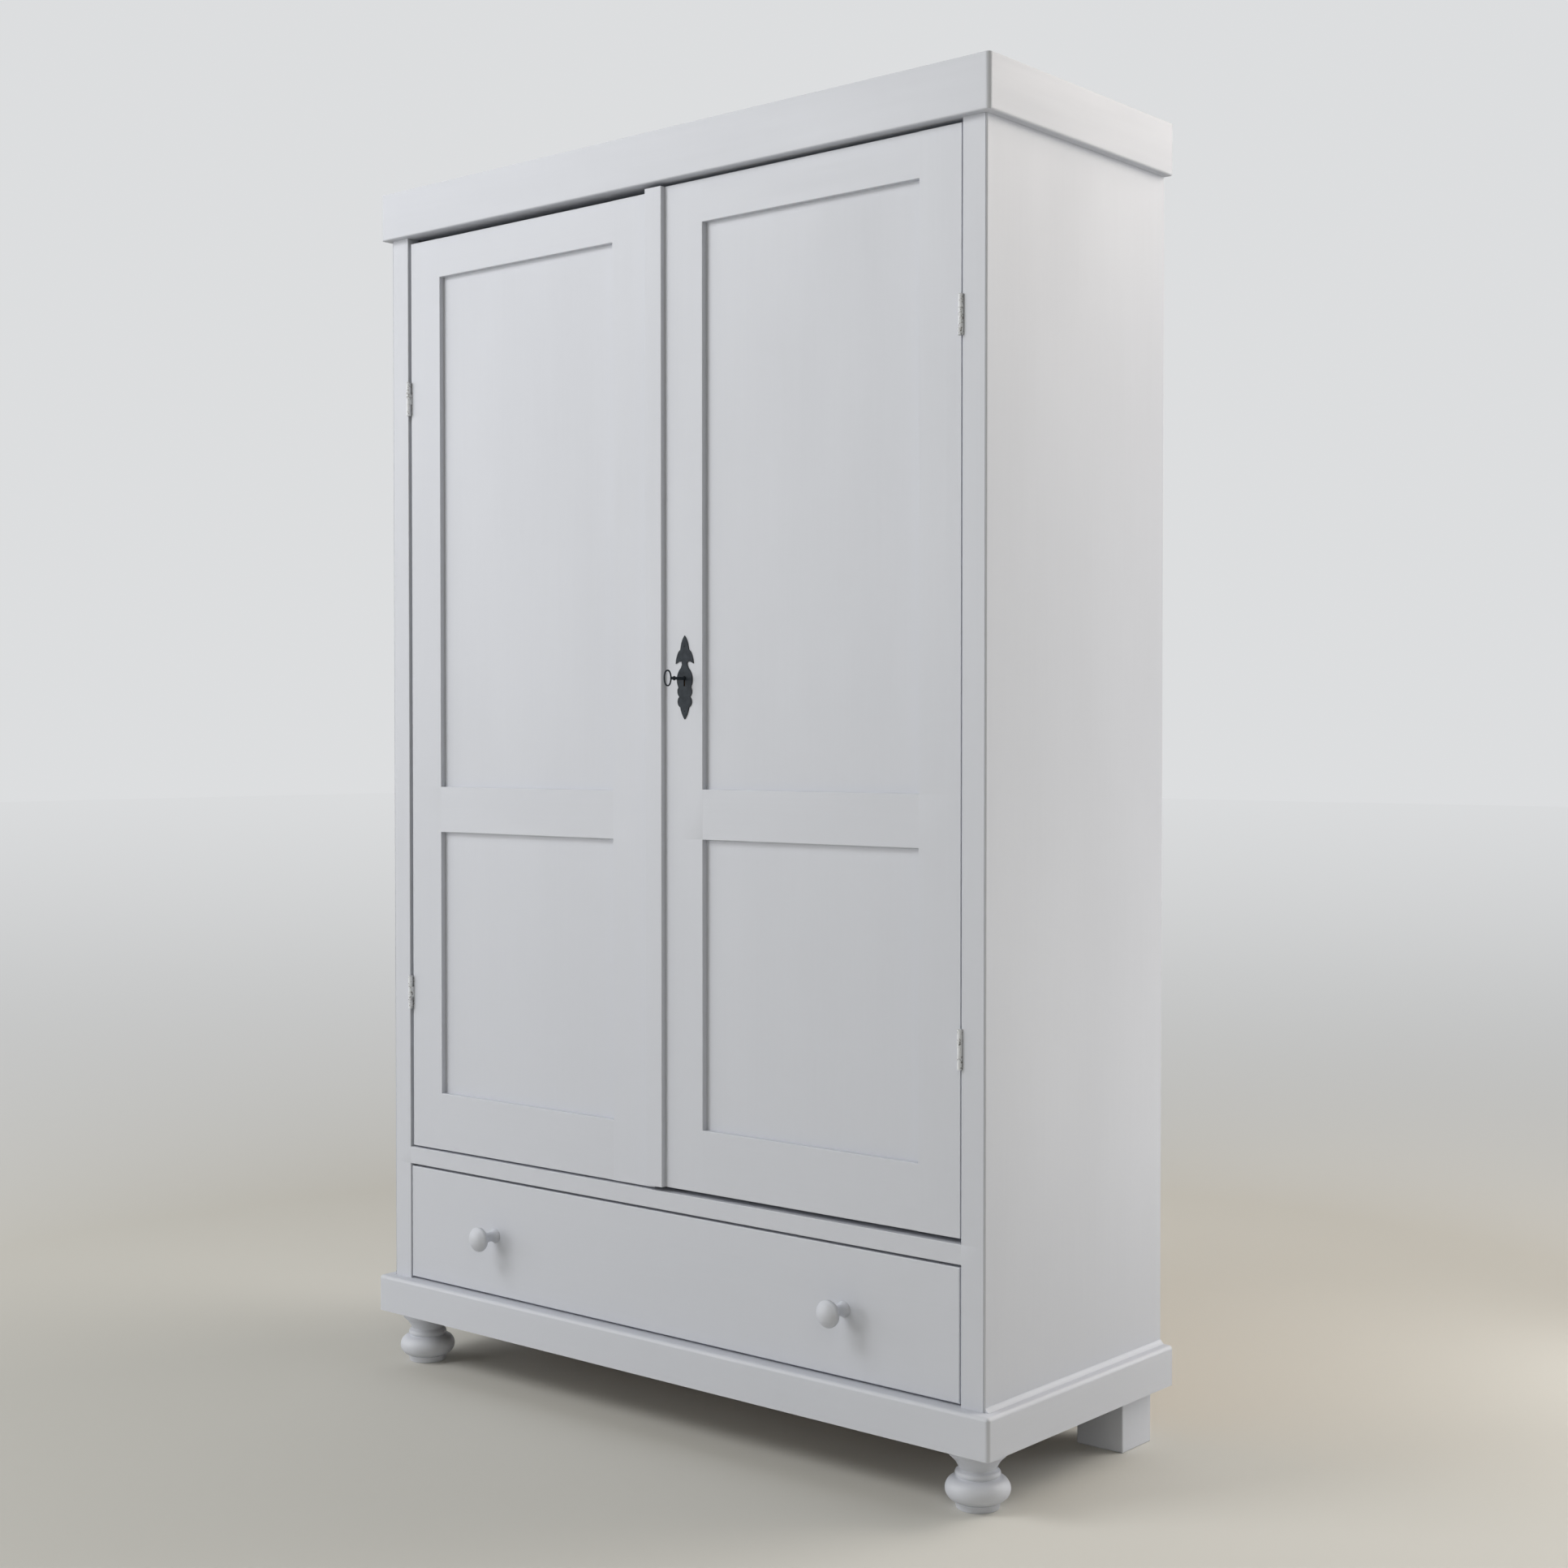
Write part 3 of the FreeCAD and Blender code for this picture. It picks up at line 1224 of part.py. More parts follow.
def drawer_side(side):
    """A side that runs on the bottom board, grooved for the drawer's bottom."""
    label = f"drawer_{side}_side"
    x = mirrored(side, "places.drawer_side_inner", "places.drawer_half")
    y = ("places.drawer_y + sizes.drawer_lap", "places.drawer_end_y")
    z = ("places.drawer_side_z", "places.drawer_side_z + sizes.drawer_side_height")
    blank = block(f"{label}_blank", x, y, z)
    groove_x = mirrored(side, "places.drawer_side_inner",
                        "places.drawer_side_inner + sizes.drawer_groove_depth")
    groove = block(f"{label}_groove", groove_x, y,
                   ("places.drawer_bottom_z", "places.drawer_bottom_top_z"))
    return piece(cut(label, blank, [groove]), label)


def drawer():
    drawer_front([drawer_knob(side) for side in ("left", "right")])
    for side in ("left", "right"):
        drawer_side(side)
    inner = ("-places.drawer_side_inner", "places.drawer_side_inner")
    sawn("drawer_back", inner, ("places.drawer_end_y - sizes.drawer_wall", "places.drawer_end_y"),
         ("places.drawer_bottom_top_z",
          "places.drawer_side_z + sizes.drawer_side_height - sizes.drawer_back_drop"))
    reach = "places.drawer_side_inner + sizes.drawer_groove_depth"
    blank = block("drawer_bottom_blank", (f"-({reach})", reach),
                  ("places.drawer_front_back_y - sizes.drawer_groove_depth", "places.drawer_end_y"),
                  ("places.drawer_bottom_z", "places.drawer_bottom_top_z"))
    corners = [
        block(f"drawer_bottom_corner_{side}", mirrored(side, "places.drawer_side_inner", reach),
              ("places.drawer_front_back_y - sizes.drawer_groove_depth",
               "places.drawer_front_back_y"),
              ("places.drawer_bottom_z", "places.drawer_bottom_top_z"))
        for side in ("left", "right")
    ]
    piece(cut("drawer_bottom", blank, corners), "drawer_bottom")


# ------------------------------------------------------------------ assembly
carcass()

plates, plate_holes = [], {}
for bolt_end in BOLT_ENDS:
    plate, bolt_holes = bolt_plate(bolt_end)
    plates.append(plate)
    plate_holes[f"{bolt_end}_rail"] = bolt_holes
    surface_bolt(bolt_end)
piece(group("left_door_bolt_plates", plates), "left_door_bolt_plates")
door("left", [hole for bolt_holes in plate_holes.values() for hole in bolt_holes], plate_holes)

case_holes = lock_case()
nail_tools = escutcheon()
stile_keyhole = wide_keyhole("stile_keyhole", ("places.right_door_y", "places.right_door_back_y"))
door("right", [*case_holes, *nail_tools, stile_keyhole], {})
closing_strip()
lock_bolt()
key()
drawer()
frame_screws.finish()
for collection in door_screws.values():
    collection.finish()

doc.recompute()

# ------------------------------------------------------------------ checks and files
for item in doc.Objects:
    if "Invalid" in item.State or "Error" in item.State:
        raise RuntimeError(f"{item.Name} did not compute: {item.State}")
for item in pieces:
    if item.Shape.isNull() or not item.Shape.isValid() or not item.Shape.Solids:
        raise RuntimeError(f"{item.Label} has no valid solid")

os.makedirs("parts", exist_ok=True)
for item in pieces:
    item.Shape.exportStep(f"parts/{item.Label}.step")
    print(f"{item.Label}: {len(item.Shape.Solids)} solid(s)")
print(f"{len(pieces)} sub-parts")
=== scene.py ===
"""The painted television armoire: its finishes, its eased edges, its turned and forged parts."""

import json
from contextlib import contextmanager
from math import acos, atan2, copysign, cos, hypot, pi, radians, sin

import bpy
from mathutils import Matrix, Vector


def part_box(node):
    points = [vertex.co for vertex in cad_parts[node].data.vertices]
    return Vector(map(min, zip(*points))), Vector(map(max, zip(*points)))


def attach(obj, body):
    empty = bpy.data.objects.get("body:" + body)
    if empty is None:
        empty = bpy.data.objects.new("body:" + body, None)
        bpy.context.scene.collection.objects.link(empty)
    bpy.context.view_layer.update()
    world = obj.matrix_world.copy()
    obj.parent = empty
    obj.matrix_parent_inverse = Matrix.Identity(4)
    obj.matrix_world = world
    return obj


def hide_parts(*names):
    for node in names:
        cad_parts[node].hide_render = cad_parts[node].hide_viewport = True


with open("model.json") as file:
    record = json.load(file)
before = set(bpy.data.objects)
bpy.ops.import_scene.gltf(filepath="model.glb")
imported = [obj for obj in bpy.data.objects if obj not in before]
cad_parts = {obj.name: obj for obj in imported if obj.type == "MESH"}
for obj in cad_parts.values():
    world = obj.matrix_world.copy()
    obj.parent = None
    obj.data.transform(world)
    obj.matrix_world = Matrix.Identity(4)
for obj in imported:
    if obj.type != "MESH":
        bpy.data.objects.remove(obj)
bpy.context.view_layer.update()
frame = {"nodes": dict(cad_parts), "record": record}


MM = 0.001
X, Y, Z = range(3)
SIDES = ("left", "right")
ROOM = 0.05 * MM  # how far an end of an edge may lie from its mark
SLACK = 0.01 * MM  # how far it may reach past the end of a span


# ------------------------------------------------------------------ the workbench
def alone(piece):
    """Only this piece is selected, and it is the active one."""
    bpy.ops.object.select_all(action="DESELECT")
    piece.select_set(True)
    bpy.context.view_layer.objects.active = piece


@contextmanager
def on_the_bench(piece, elements="EDGE", everything=False):
    """Edit mode on one piece, with the picked elements or everything selected."""
    alone(piece)
    modes = tuple(elements == kind for kind in ("VERT", "EDGE", "FACE"))
    bpy.context.tool_settings.mesh_select_mode = modes
    bpy.ops.object.mode_set(mode="EDIT")
    if everything:
        bpy.ops.mesh.select_all(action="SELECT")
    yield
    bpy.ops.object.mode_set(mode="OBJECT")


def set_down(piece, place, turn=(0, 0, 0)):
    """Move a piece to its place and keep the move in its mesh."""
    alone(piece)
    piece.rotation_euler = turn
    piece.location = place
    bpy.ops.object.transform_apply(location=True, rotation=True, scale=True)
    return piece


def block(size, middle):
    """A plain block, to shape further or to cut with."""
    bpy.ops.object.select_all(action="DESELECT")
    bpy.ops.mesh.primitive_cube_add(size=1)
    piece = bpy.context.object
    piece.scale = size
    return set_down(piece, middle)


def board_from(node, name):
    """A copy of a node's solid to work on, its loose triangles made whole faces again."""
    source = frame["nodes"][node]
    board = source.copy()
    board.data = source.data.copy()
    board.name = name
    board.parent = None
    board.matrix_world = Matrix.Identity(4)
    bpy.context.scene.collection.objects.link(board)
    with on_the_bench(board, everything=True):
        bpy.ops.mesh.customdata_custom_splitnormals_clear()
        bpy.ops.mesh.remove_doubles(threshold=0.005 * MM)
        bpy.ops.mesh.dissolve_limited(angle_limit=radians(0.4))
    return board


def mark_across(board, levels):
    """Cut the faces, and nothing more, at the heights where a neighbour's edge meets the board."""
    for level in levels:
        with on_the_bench(board, everything=True):
            bpy.ops.mesh.bisect(plane_co=(0, 0, level), plane_no=(0, 0, 1))


def pick_edges(piece, wanted):
    """Select the edges whose two ends the test accepts, and nothing else."""
    mesh = piece.data
    for elements in (mesh.vertices, mesh.edges, mesh.polygons):
        elements.foreach_set("select", [False] * len(elements))
    for edge in mesh.edges:
        start, end = (mesh.vertices[index] for index in edge.vertices)
        if wanted(start.co, end.co):
            edge.select = start.select = end.select = True


def ease(piece, width, wanted, steps=3, profile=0.5):
    """Round the arrises that the test accepts, as sandpaper and paint do."""
    pick_edges(piece, wanted)
    with on_the_bench(piece):
        bpy.ops.mesh.bevel(offset=width, offset_type="OFFSET", segments=steps, profile=profile,
                           affect="EDGES", clamp_overlap=True)


def saw(piece, blade, way="DIFFERENCE"):
    """Cut the blade's shape out of a piece, keep only what lies inside it, or add it."""
    alone(piece)
    kerf = piece.modifiers.new("saw", "BOOLEAN")
    kerf.operation = way
    kerf.solver = "EXACT"
    kerf.object = blade
    bpy.ops.object.modifier_apply(modifier=kerf.name)
    bpy.data.objects.remove(blade)


def joined(name, pieces):
    """Several pieces made one object."""
    bpy.ops.object.select_all(action="DESELECT")
    for piece in pieces:
        piece.select_set(True)
    bpy.context.view_layer.objects.active = pieces[0]
    bpy.ops.object.join()
    pieces[0].name = name
    return pieces[0]


def true_faces(piece, angle=40):
    """Round edges shade round and flat faces flat."""
    alone(piece)
    bpy.ops.object.shade_smooth_by_angle(angle=radians(angle))
    planed = piece.modifiers.new("planed_faces", "WEIGHTED_NORMAL")
    planed.keep_sharp = True
    planed.weight = 100
    bpy.ops.object.modifier_apply(modifier=planed.name)


def stands_for(piece, look, slot, *nodes):
    """Give a worked piece its finish and its place on the body of its node; the slot is not used."""
    piece.data.materials.clear()
    piece.data.materials.append(look)
    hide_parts(*nodes)
    body = next(name for name, members in frame["record"]["behaviour"]["bodies"].items()
                if nodes[0] in members)
    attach(piece, body)
    return piece


def leave_bare_and_shaded(piece, wood, wanted):
    """Give the dark bare pine to the faces that the test picks by their normal and middle: bare
    where the brush never reached, and dark as painted shade.
    """
    piece.data.materials.append(wood)
    for face in piece.data.polygons:
        if wanted(face.normal, face.center):
            face.material_index = len(piece.data.materials) - 1


# ------------------------------------------------------------------ marking out
def near(value, other):
    return abs(value - other) < ROOM


def both(start, end, axis, value):
    """Both ends of an edge lie at this value of the axis."""
    return near(start[axis], value) and near(end[axis], value)


def within(start, end, spans):
    """Both ends of an edge lie in the same one of these spans of height."""
    low, high = sorted((start.z, end.z))
    return any(lower - SLACK < low and high < upper + SLACK for lower, upper in spans)


def height_of(start, end):
    return abs(start.z - end.z)


def front_ends(node):
    """A test for the upper and the lower arris of a node's front face."""
    low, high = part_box(node)
    return lambda a, b: both(a, b, Y, low.y) and (both(a, b, Z, low.z) or both(a, b, Z, high.z))


def outer_and_inner(node):
    """The x of a node's face that looks away from the middle of the armoire, and of the other."""
    low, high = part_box(node)
    return (low.x, high.x) if low.x + high.x < 0 else (high.x, low.x)


# ------------------------------------------------------------------ effects
def new_effect(name, values):
    """An empty shader group: its place and values go in, colour, roughness and height come out."""
    tree = bpy.data.node_groups.new(name, "ShaderNodeTree")
    for label, kind in {"Place": "Vector", **values}.items():
        tree.interface.new_socket(label, in_out="INPUT", socket_type=f"NodeSocket{kind}")
    for label, kind in (("Color", "Color"), ("Roughness", "Float"), ("Height", "Float")):
        tree.interface.new_socket(label, in_out="OUTPUT", socket_type=f"NodeSocket{kind}")
    return tree, tree.nodes.new("NodeGroupInput").outputs, tree.nodes.new("NodeGroupOutput").inputs


def connect(tree, source, socket):
    """Link a socket to a socket, or write a plain value on it."""
    if isinstance(source, bpy.types.NodeSocket):
        tree.links.new(source, socket)
    else:
        socket.default_value = source


def noise(tree, place, scale=1.0, detail=2.0, roughness=0.5, distortion=0.0):
    texture = tree.nodes.new("ShaderNodeTexNoise")
    for label, value in (("Vector", place), ("Scale", scale), ("Detail", detail),
                         ("Roughness", roughness), ("Distortion", distortion)):
        connect(tree, value, texture.inputs[label])
    return texture.outputs["Fac"]


def drawn_out(tree, place, across, along):
    """Coordinates stretched so that a texture runs along the grain, which is Z."""
    stretch = tree.nodes.new("ShaderNodeVectorMath")
    stretch.operation = "MULTIPLY"
    connect(tree, place, stretch.inputs[0])
    connect(tree, (across, across, along), stretch.inputs[1])
    return stretch.outputs["Vector"]


def sums(tree, operation, first, second):
    node = tree.nodes.new("ShaderNodeMath")
    node.operation = operation
    connect(tree, first, node.inputs[0])
    connect(tree, second, node.inputs[1])
    return node.outputs["Value"]


def spread(tree, value, low, high, new_low=0.0, new_high=1.0):
    """Bring a value from one range into another, and keep it there."""
    node = tree.nodes.new("ShaderNodeMapRange")
    for label, number in (("Value", value), ("From Min", low), ("From Max", high),
                          ("To Min", new_low), ("To Max", new_high)):
        connect(tree, number, node.inputs[label])
    return node.outputs["Result"]


def blend_colours(tree, factor, first, second):
    node = tree.nodes.new("ShaderNodeMix")
    node.data_type = "RGBA"
    connect(tree, factor, node.inputs["Factor"])
    connect(tree, first, node.inputs["A"])
    connect(tree, second, node.inputs["B"])
    return next(socket for socket in node.outputs if socket.type == "RGBA")


def weighted(tree, parts):
    """The sum of values, each times its weight."""
    total = None
    for value, weight in parts:
        share = sums(tree, "MULTIPLY", value, weight)
        total = share if total is None else sums(tree, "ADD", total, share)
    return total


def paint_film():
    """Satin paint by brush and roller: faint clouds, brush lines, stipple, grain showing through."""
    tree, given, result = new_effect("paint_film", {"Paint": "Color", "Thin Paint": "Color"})
    place = given["Place"]
    clouds = noise(tree, place, scale=1.6, detail=3.0, roughness=0.55)
    patches = noise(tree, drawn_out(tree, place, across=9.0, along=2.2))
    strokes = noise(tree, drawn_out(tree, place, across=230.0, along=5.0), detail=3.0, roughness=0.6)
    grain = noise(tree, drawn_out(tree, place, across=62.0, along=1.5), detail=4.0, roughness=0.62,
                  distortion=0.5)
    stipple = noise(tree, place, scale=780.0, detail=1.0)
    thin = weighted(tree, [(spread(tree, clouds, 0.35, 0.65), 0.5),
                           (spread(tree, patches, 0.35, 0.65), 0.3),
                           (spread(tree, strokes, 0.30, 0.70), 0.2)])
    connect(tree, blend_colours(tree, thin, given["Paint"], given["Thin Paint"]), result["Color"])
    sheen = weighted(tree, [(strokes, 0.5), (patches, 0.5)])
    connect(tree, spread(tree, sheen, 0.3, 0.7, 0.42, 0.54), result["Roughness"])
    relief = weighted(tree, [(strokes, 0.35), (grain, 0.5), (stipple, 0.15)])
    connect(tree, relief, result["Height"])
    return tree


def pine_boards():
    """Planed pine: growth lines drawn out along the grain, fine fibres and a few knots."""
    tree, given, result = new_effect(
        "pine_boards", {"Early Wood": "Color", "Late Wood": "Color", "Knot": "Color"})
    place = given["Place"]
    eye = tree.nodes.new("ShaderNodeTexVoronoi")
    eye.feature = "F1"
    connect(tree, drawn_out(tree, place, across=5.0, along=2.4), eye.inputs["Vector"])
    connect(tree, 1.0, eye.inputs["Scale"])
    round_eye = spread(tree, eye.outputs["Distance"], 0.03, 0.16, 1.0, 0.0)
    wander = noise(tree, drawn_out(tree, place, across=7.0, along=0.9))
    lines = tree.nodes.new("ShaderNodeTexWave")
    lines.wave_type = "BANDS"
    lines.bands_direction = "X"
    phase = weighted(tree, [(wander, 26.0), (round_eye, 9.0)])
    for label, value in (("Vector", drawn_out(tree, place, across=1.0, along=0.08)),
                         ("Scale", 34.0), ("Distortion", 5.0), ("Detail", 2.0),
                         ("Phase Offset", phase)):
        connect(tree, value, lines.inputs[label])
    fibres = noise(tree, drawn_out(tree, place, across=900.0, along=14.0), roughness=0.6)
    season = weighted(tree, [(lines.outputs["Fac"], 0.7), (fibres, 0.3)])
    wood = blend_colours(tree, spread(tree, season, 0.25, 0.9), given["Early Wood"],
                         given["Late Wood"])
    wood = blend_colours(tree, spread(tree, round_eye, 0.45, 0.9), wood, given["Knot"])
    connect(tree, wood, result["Color"])
    connect(tree, spread(tree, fibres, 0.2, 0.8, 0.50, 0.66), result["Roughness"])
    relief = weighted(tree, [(fibres, 0.7), (lines.outputs["Fac"], 0.3)])
    connect(tree, relief, result["Height"])
    return tree


def worked_metal():
    """Filed and handled metal: clouded tone, fine scratches and low hammer marks."""
    tree, given, result = new_effect(
        "worked_metal", {"Bright": "Color", "Dull": "Color", "Smooth": "Float", "Rough": "Float",
                         "Hammer Marks": "Float"})
    place = given["Place"]
    tarnish = noise(tree, place, scale=110.0, detail=4.0, roughness=0.65)
    dents = noise(tree, place, scale=190.0, detail=1.0)
    scratches = noise(tree, drawn_out(tree, place, across=2600.0, along=90.0))
    tone = spread(tree, weighted(tree, [(tarnish, 0.8), (scratches, 0.2)]), 0.32, 0.68)
    connect(tree, blend_colours(tree, tone, given["Bright"], given["Dull"]), result["Color"])
    wear = spread(tree, tone, 0.0, 1.0, given["Smooth"], given["Rough"])
    connect(tree, wear, result["Roughness"])
    relief = weighted(tree, [(dents, given["Hammer Marks"]), (scratches, 0.12)])
    connect(tree, relief, result["Height"])
    return tree


def painted_over():
    """Paint brushed over a metal fitting, chipped where it rubs."""
    tree, given, result = new_effect(
        "painted_over", {"Paint": "Color", "Bare": "Color", "Chipped": "Float"})
    place = given["Place"]
    flakes = noise(tree, place, scale=420.0, detail=4.0, roughness=0.7)
    rubbed = noise(tree, place, scale=60.0)
    wear = weighted(tree, [(flakes, 0.6), (rubbed, 0.4)])
    soft_edge = sums(tree, "ADD", given["Chipped"], 0.03)
    chip = spread(tree, wear, given["Chipped"], soft_edge, 1.0, 0.0)
    connect(tree, blend_colours(tree, chip, given["Paint"], given["Bare"]), result["Color"])
    connect(tree, spread(tree, flakes, 0.3, 0.7, 0.40, 0.52), result["Roughness"])
    connect(tree, sums(tree, "SUBTRACT", 1.0, chip), result["Height"])
    return tree


PAINT_FILM = paint_film()
PINE_BOARDS = pine_boards()
WORKED_METAL = worked_metal()
PAINTED_OVER = painted_over()


# ------------------------------------------------------------------ finishes
GRAIN = {"upright": (0, 0, 0), "across": (0, pi / 2, 0), "depthwise": (pi / 2, 0, 0)}
PAINT_RELIEF = 0.09 * MM
WOOD_RELIEF = 0.10 * MM
GREY_PAINT = {"Paint": (0.582, 0.602, 0.660, 1), "Thin Paint": (0.563, 0.582, 0.637, 1)}
NEW_PINE = {"Early Wood": (0.66, 0.47, 0.27, 1), "Late Wood": (0.47, 0.28, 0.13, 1),
            "Knot": (0.19, 0.09, 0.04, 1)}
# Very dark bare pine: bare wood where no paint went, made dark as painted shade under the armoire,
# inside the plinth and in the keyhole.
DARK_PINE_FOR_SHADE = {"Early Wood": (0.13, 0.088, 0.054, 1), "Late Wood": (0.07, 0.044, 0.025, 1),
             "Knot": (0.04, 0.025, 0.015, 1)}
BLACK_IRON = {"Bright": (0.026, 0.034, 0.044, 1), "Dull": (0.015, 0.019, 0.025, 1),
              "Smooth": 0.52, "Rough": 0.68, "Hammer Marks": 0.9}
OLD_STEEL = {"Bright": (0.42, 0.41, 0.39, 1), "Dull": (0.25, 0.24, 0.22, 1),
             "Smooth": 0.30, "Rough": 0.48, "Hammer Marks": 0.2}
TURNED_STEEL = {"Bright": (0.56, 0.55, 0.52, 1), "Dull": (0.36, 0.35, 0.33, 1),
                "Smooth": 0.25, "Rough": 0.40, "Hammer Marks": 0.1}
# Hinge paint lighter than the boards' paint: partly a whiter old paint, partly a painted highlight
# on knuckles that stand in shade.
HINGE_PAINT_AND_HIGHLIGHT = {"Paint": (0.72, 0.74, 0.78, 1), "Bare": (0.11, 0.105, 0.10, 1), "Chipped": 0.42}


def finish(name, effect, values, relief, grain="upright", metal=0.0):
    """A material: one effect in the piece's own coordinates, on a Principled shader."""
    material = bpy.data.materials.new(name)
    material.use_nodes = True
    tree = material.node_tree
    place = tree.nodes.new("ShaderNodeMapping")
    connect(tree, GRAIN[grain], place.inputs["Rotation"])
    connect(tree, tree.nodes.new("ShaderNodeTexCoord").outputs["Object"], place.inputs["Vector"])
    surface = tree.nodes.new("ShaderNodeGroup")
    surface.node_tree = effect
    for label, value in {"Place": place.outputs["Vector"], **values}.items():
        connect(tree, value, surface.inputs[label])
    bump = tree.nodes.new("ShaderNodeBump")
    connect(tree, 1.0, bump.inputs["Strength"])
    connect(tree, relief, bump.inputs["Distance"])
    connect(tree, surface.outputs["Height"], bump.inputs["Height"])
    shader = tree.nodes["Principled BSDF"].inputs
    connect(tree, surface.outputs["Color"], shader["Base Color"])
    connect(tree, surface.outputs["Roughness"], shader["Roughness"])
    connect(tree, bump.outputs["Normal"], shader["Normal"])
    connect(tree, metal, shader["Metallic"])
    return material


paint = {way: finish(f"painted_wood_{way}", PAINT_FILM, GREY_PAINT, PAINT_RELIEF, way)
         for way in GRAIN}
pine = {way: finish(f"bare_pine_{way}", PINE_BOARDS, NEW_PINE, WOOD_RELIEF, way)
        for way in ("across", "depthwise")}
# The dark bare pine doubles as painted shade.
dark_pine_for_shade = finish("bare_pine_painted_shade", PINE_BOARDS, DARK_PINE_FOR_SHADE, WOOD_RELIEF, "across")
black_iron = finish("blued_black_iron", WORKED_METAL, BLACK_IRON, relief=0.10 * MM)
black_iron.node_tree.nodes["Principled BSDF"].inputs["Specular IOR Level"].default_value = 0.2
old_steel = finish("old_lock_steel", WORKED_METAL, OLD_STEEL, relief=0.03 * MM, metal=1.0)
painted_hinge = finish("painted_hinge_steel", PAINTED_OVER, HINGE_PAINT_AND_HIGHLIGHT, relief=0.12 * MM)
screw_steel = finish("turned_screw_steel", WORKED_METAL, TURNED_STEEL, relief=0.02 * MM, metal=1.0)


def back_board_pine(board_width, first_edge):
    """Bare pine in which each upright board has a grain of its own."""
    material = finish("bare_pine_back", PINE_BOARDS, NEW_PINE, WOOD_RELIEF)
    tree = material.node_tree
    place = next(node for node in tree.nodes if node.type == "MAPPING").outputs["Vector"]
    parts = tree.nodes.new("ShaderNodeSeparateXYZ")
    connect(tree, place, parts.inputs["Vector"])
    reach = sums(tree, "SUBTRACT", parts.outputs["X"], first_edge)
    number = sums(tree, "FLOOR", sums(tree, "DIVIDE", reach, board_width), 0.0)
    shift = tree.nodes.new("ShaderNodeCombineXYZ")
    for label, step in (("X", 0.37), ("Y", 0.83), ("Z", 2.71)):
        connect(tree, sums(tree, "MULTIPLY", number, step), shift.inputs[label])
    moved = tree.nodes.new("ShaderNodeVectorMath")
    moved.operation = "ADD"
    connect(tree, place, moved.inputs[0])
    connect(tree, shift.outputs["Vector"], moved.inputs[1])
    surface = next(node for node in tree.nodes if node.type == "GROUP")
    connect(tree, moved.outputs["Vector"], surface.inputs["Place"])
    return material


# ------------------------------------------------------------------ joinery
FRAME_ARRIS = 1.1 * MM
STRIP_ARRIS = 0.8 * MM
SIDE_ARRIS = 1.6 * MM
FOOT_ARRIS = 1.8 * MM
BAND_ARRIS = 1.5 * MM
BACK_CHAMFER = 1.0 * MM
MITRE_ROUNDING = {"cornice": 6.5 * MM, "plinth": 6.0 * MM}
OVERCUT = 10 * MM  # how far the rounded blank reaches past the boards
GROOVE = Vector((0.6 * MM, 2.4 * MM, 2.0))  # the saw cut that opens the joint line
GROOVE_INSET = 2.2 * MM
FILLER = 5.8 * MM  # how far the filler reaches outwards and up
FILLER_LAP = 0.6 * MM
FILLER_HOLLOW = 5.5 * MM
BACK_BOARD_COUNT = 7
KEYHOLE_REACH = 14 * MM
STILE_EDGE = 3 * MM  # an upright edge shorter than this is no arris of a stile,
FOOT_EDGE = 40 * MM  # of a foot,
BACK_EDGE = 0.5  # or of a back board
FACING = 0.9  # how far the normal of a face has to agree with a direction
SIDEWAYS = 0.5  # and how little, to look across it


def eased(node, way, width, wanted, levels=()):
    """A painted board in the place of a node, the arrises rounded that the test accepts."""
    board = board_from(node, f"{node}_eased")
    mark_across(board, levels)
    ease(board, width, wanted)
    true_faces(board)
    return stands_for(board, paint[way], "painted_wood", node)


def door_frame(side):
    """The stiles and rails of one door, every arris eased that a hand can reach."""
    stiles = ("hinge_stile", "closing_stile")
    rails = ("top_rail", "lock_rail", "bottom_rail")
    boxes = {part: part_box(f"{side}_door_{part}") for part in stiles + rails}
    face = boxes["lock_rail"][0].y
    foot, head = boxes["bottom_rail"][0].z, boxes["top_rail"][1].z
    openings = ((boxes["bottom_rail"][1].z, boxes["lock_rail"][0].z),
                (boxes["lock_rail"][1].z, boxes["top_rail"][0].z))
    middle = (boxes["hinge_stile"][0].x + boxes["closing_stile"][1].x) / 2
    worked = {}
    for part in stiles:
        low, high = boxes[part]
        inner, outer = sorted((low.x, high.x), key=lambda x: abs(x - middle))

        def arris(a, b):
            if not both(a, b, Y, face):
                return False
            beside_panel = both(a, b, X, inner) and within(a, b, openings)
            long_side = both(a, b, X, outer) and height_of(a, b) > STILE_EDGE
            return beside_panel or long_side or both(a, b, Z, foot) or both(a, b, Z, head)

        worked[part] = eased(f"{side}_door_{part}", "upright", FRAME_ARRIS, arris,
                             [level for opening in openings for level in opening])
    for part in rails:
        node = f"{side}_door_{part}"
        eased(node, "across", FRAME_ARRIS, front_ends(node))
    return worked


def keyhole_painted_shade(stile):
    """The walls of the keyhole, given the dark bare pine as painted shade in its depth."""
    lock = sum(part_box("key"), Vector()) / 2

    def wall(normal, middle):
        distance = hypot(middle.x - lock.x, middle.z - lock.z)
        return abs(normal.y) < SIDEWAYS and distance < KEYHOLE_REACH

    leave_bare_and_shaded(stile, dark_pine_for_shade, wall)


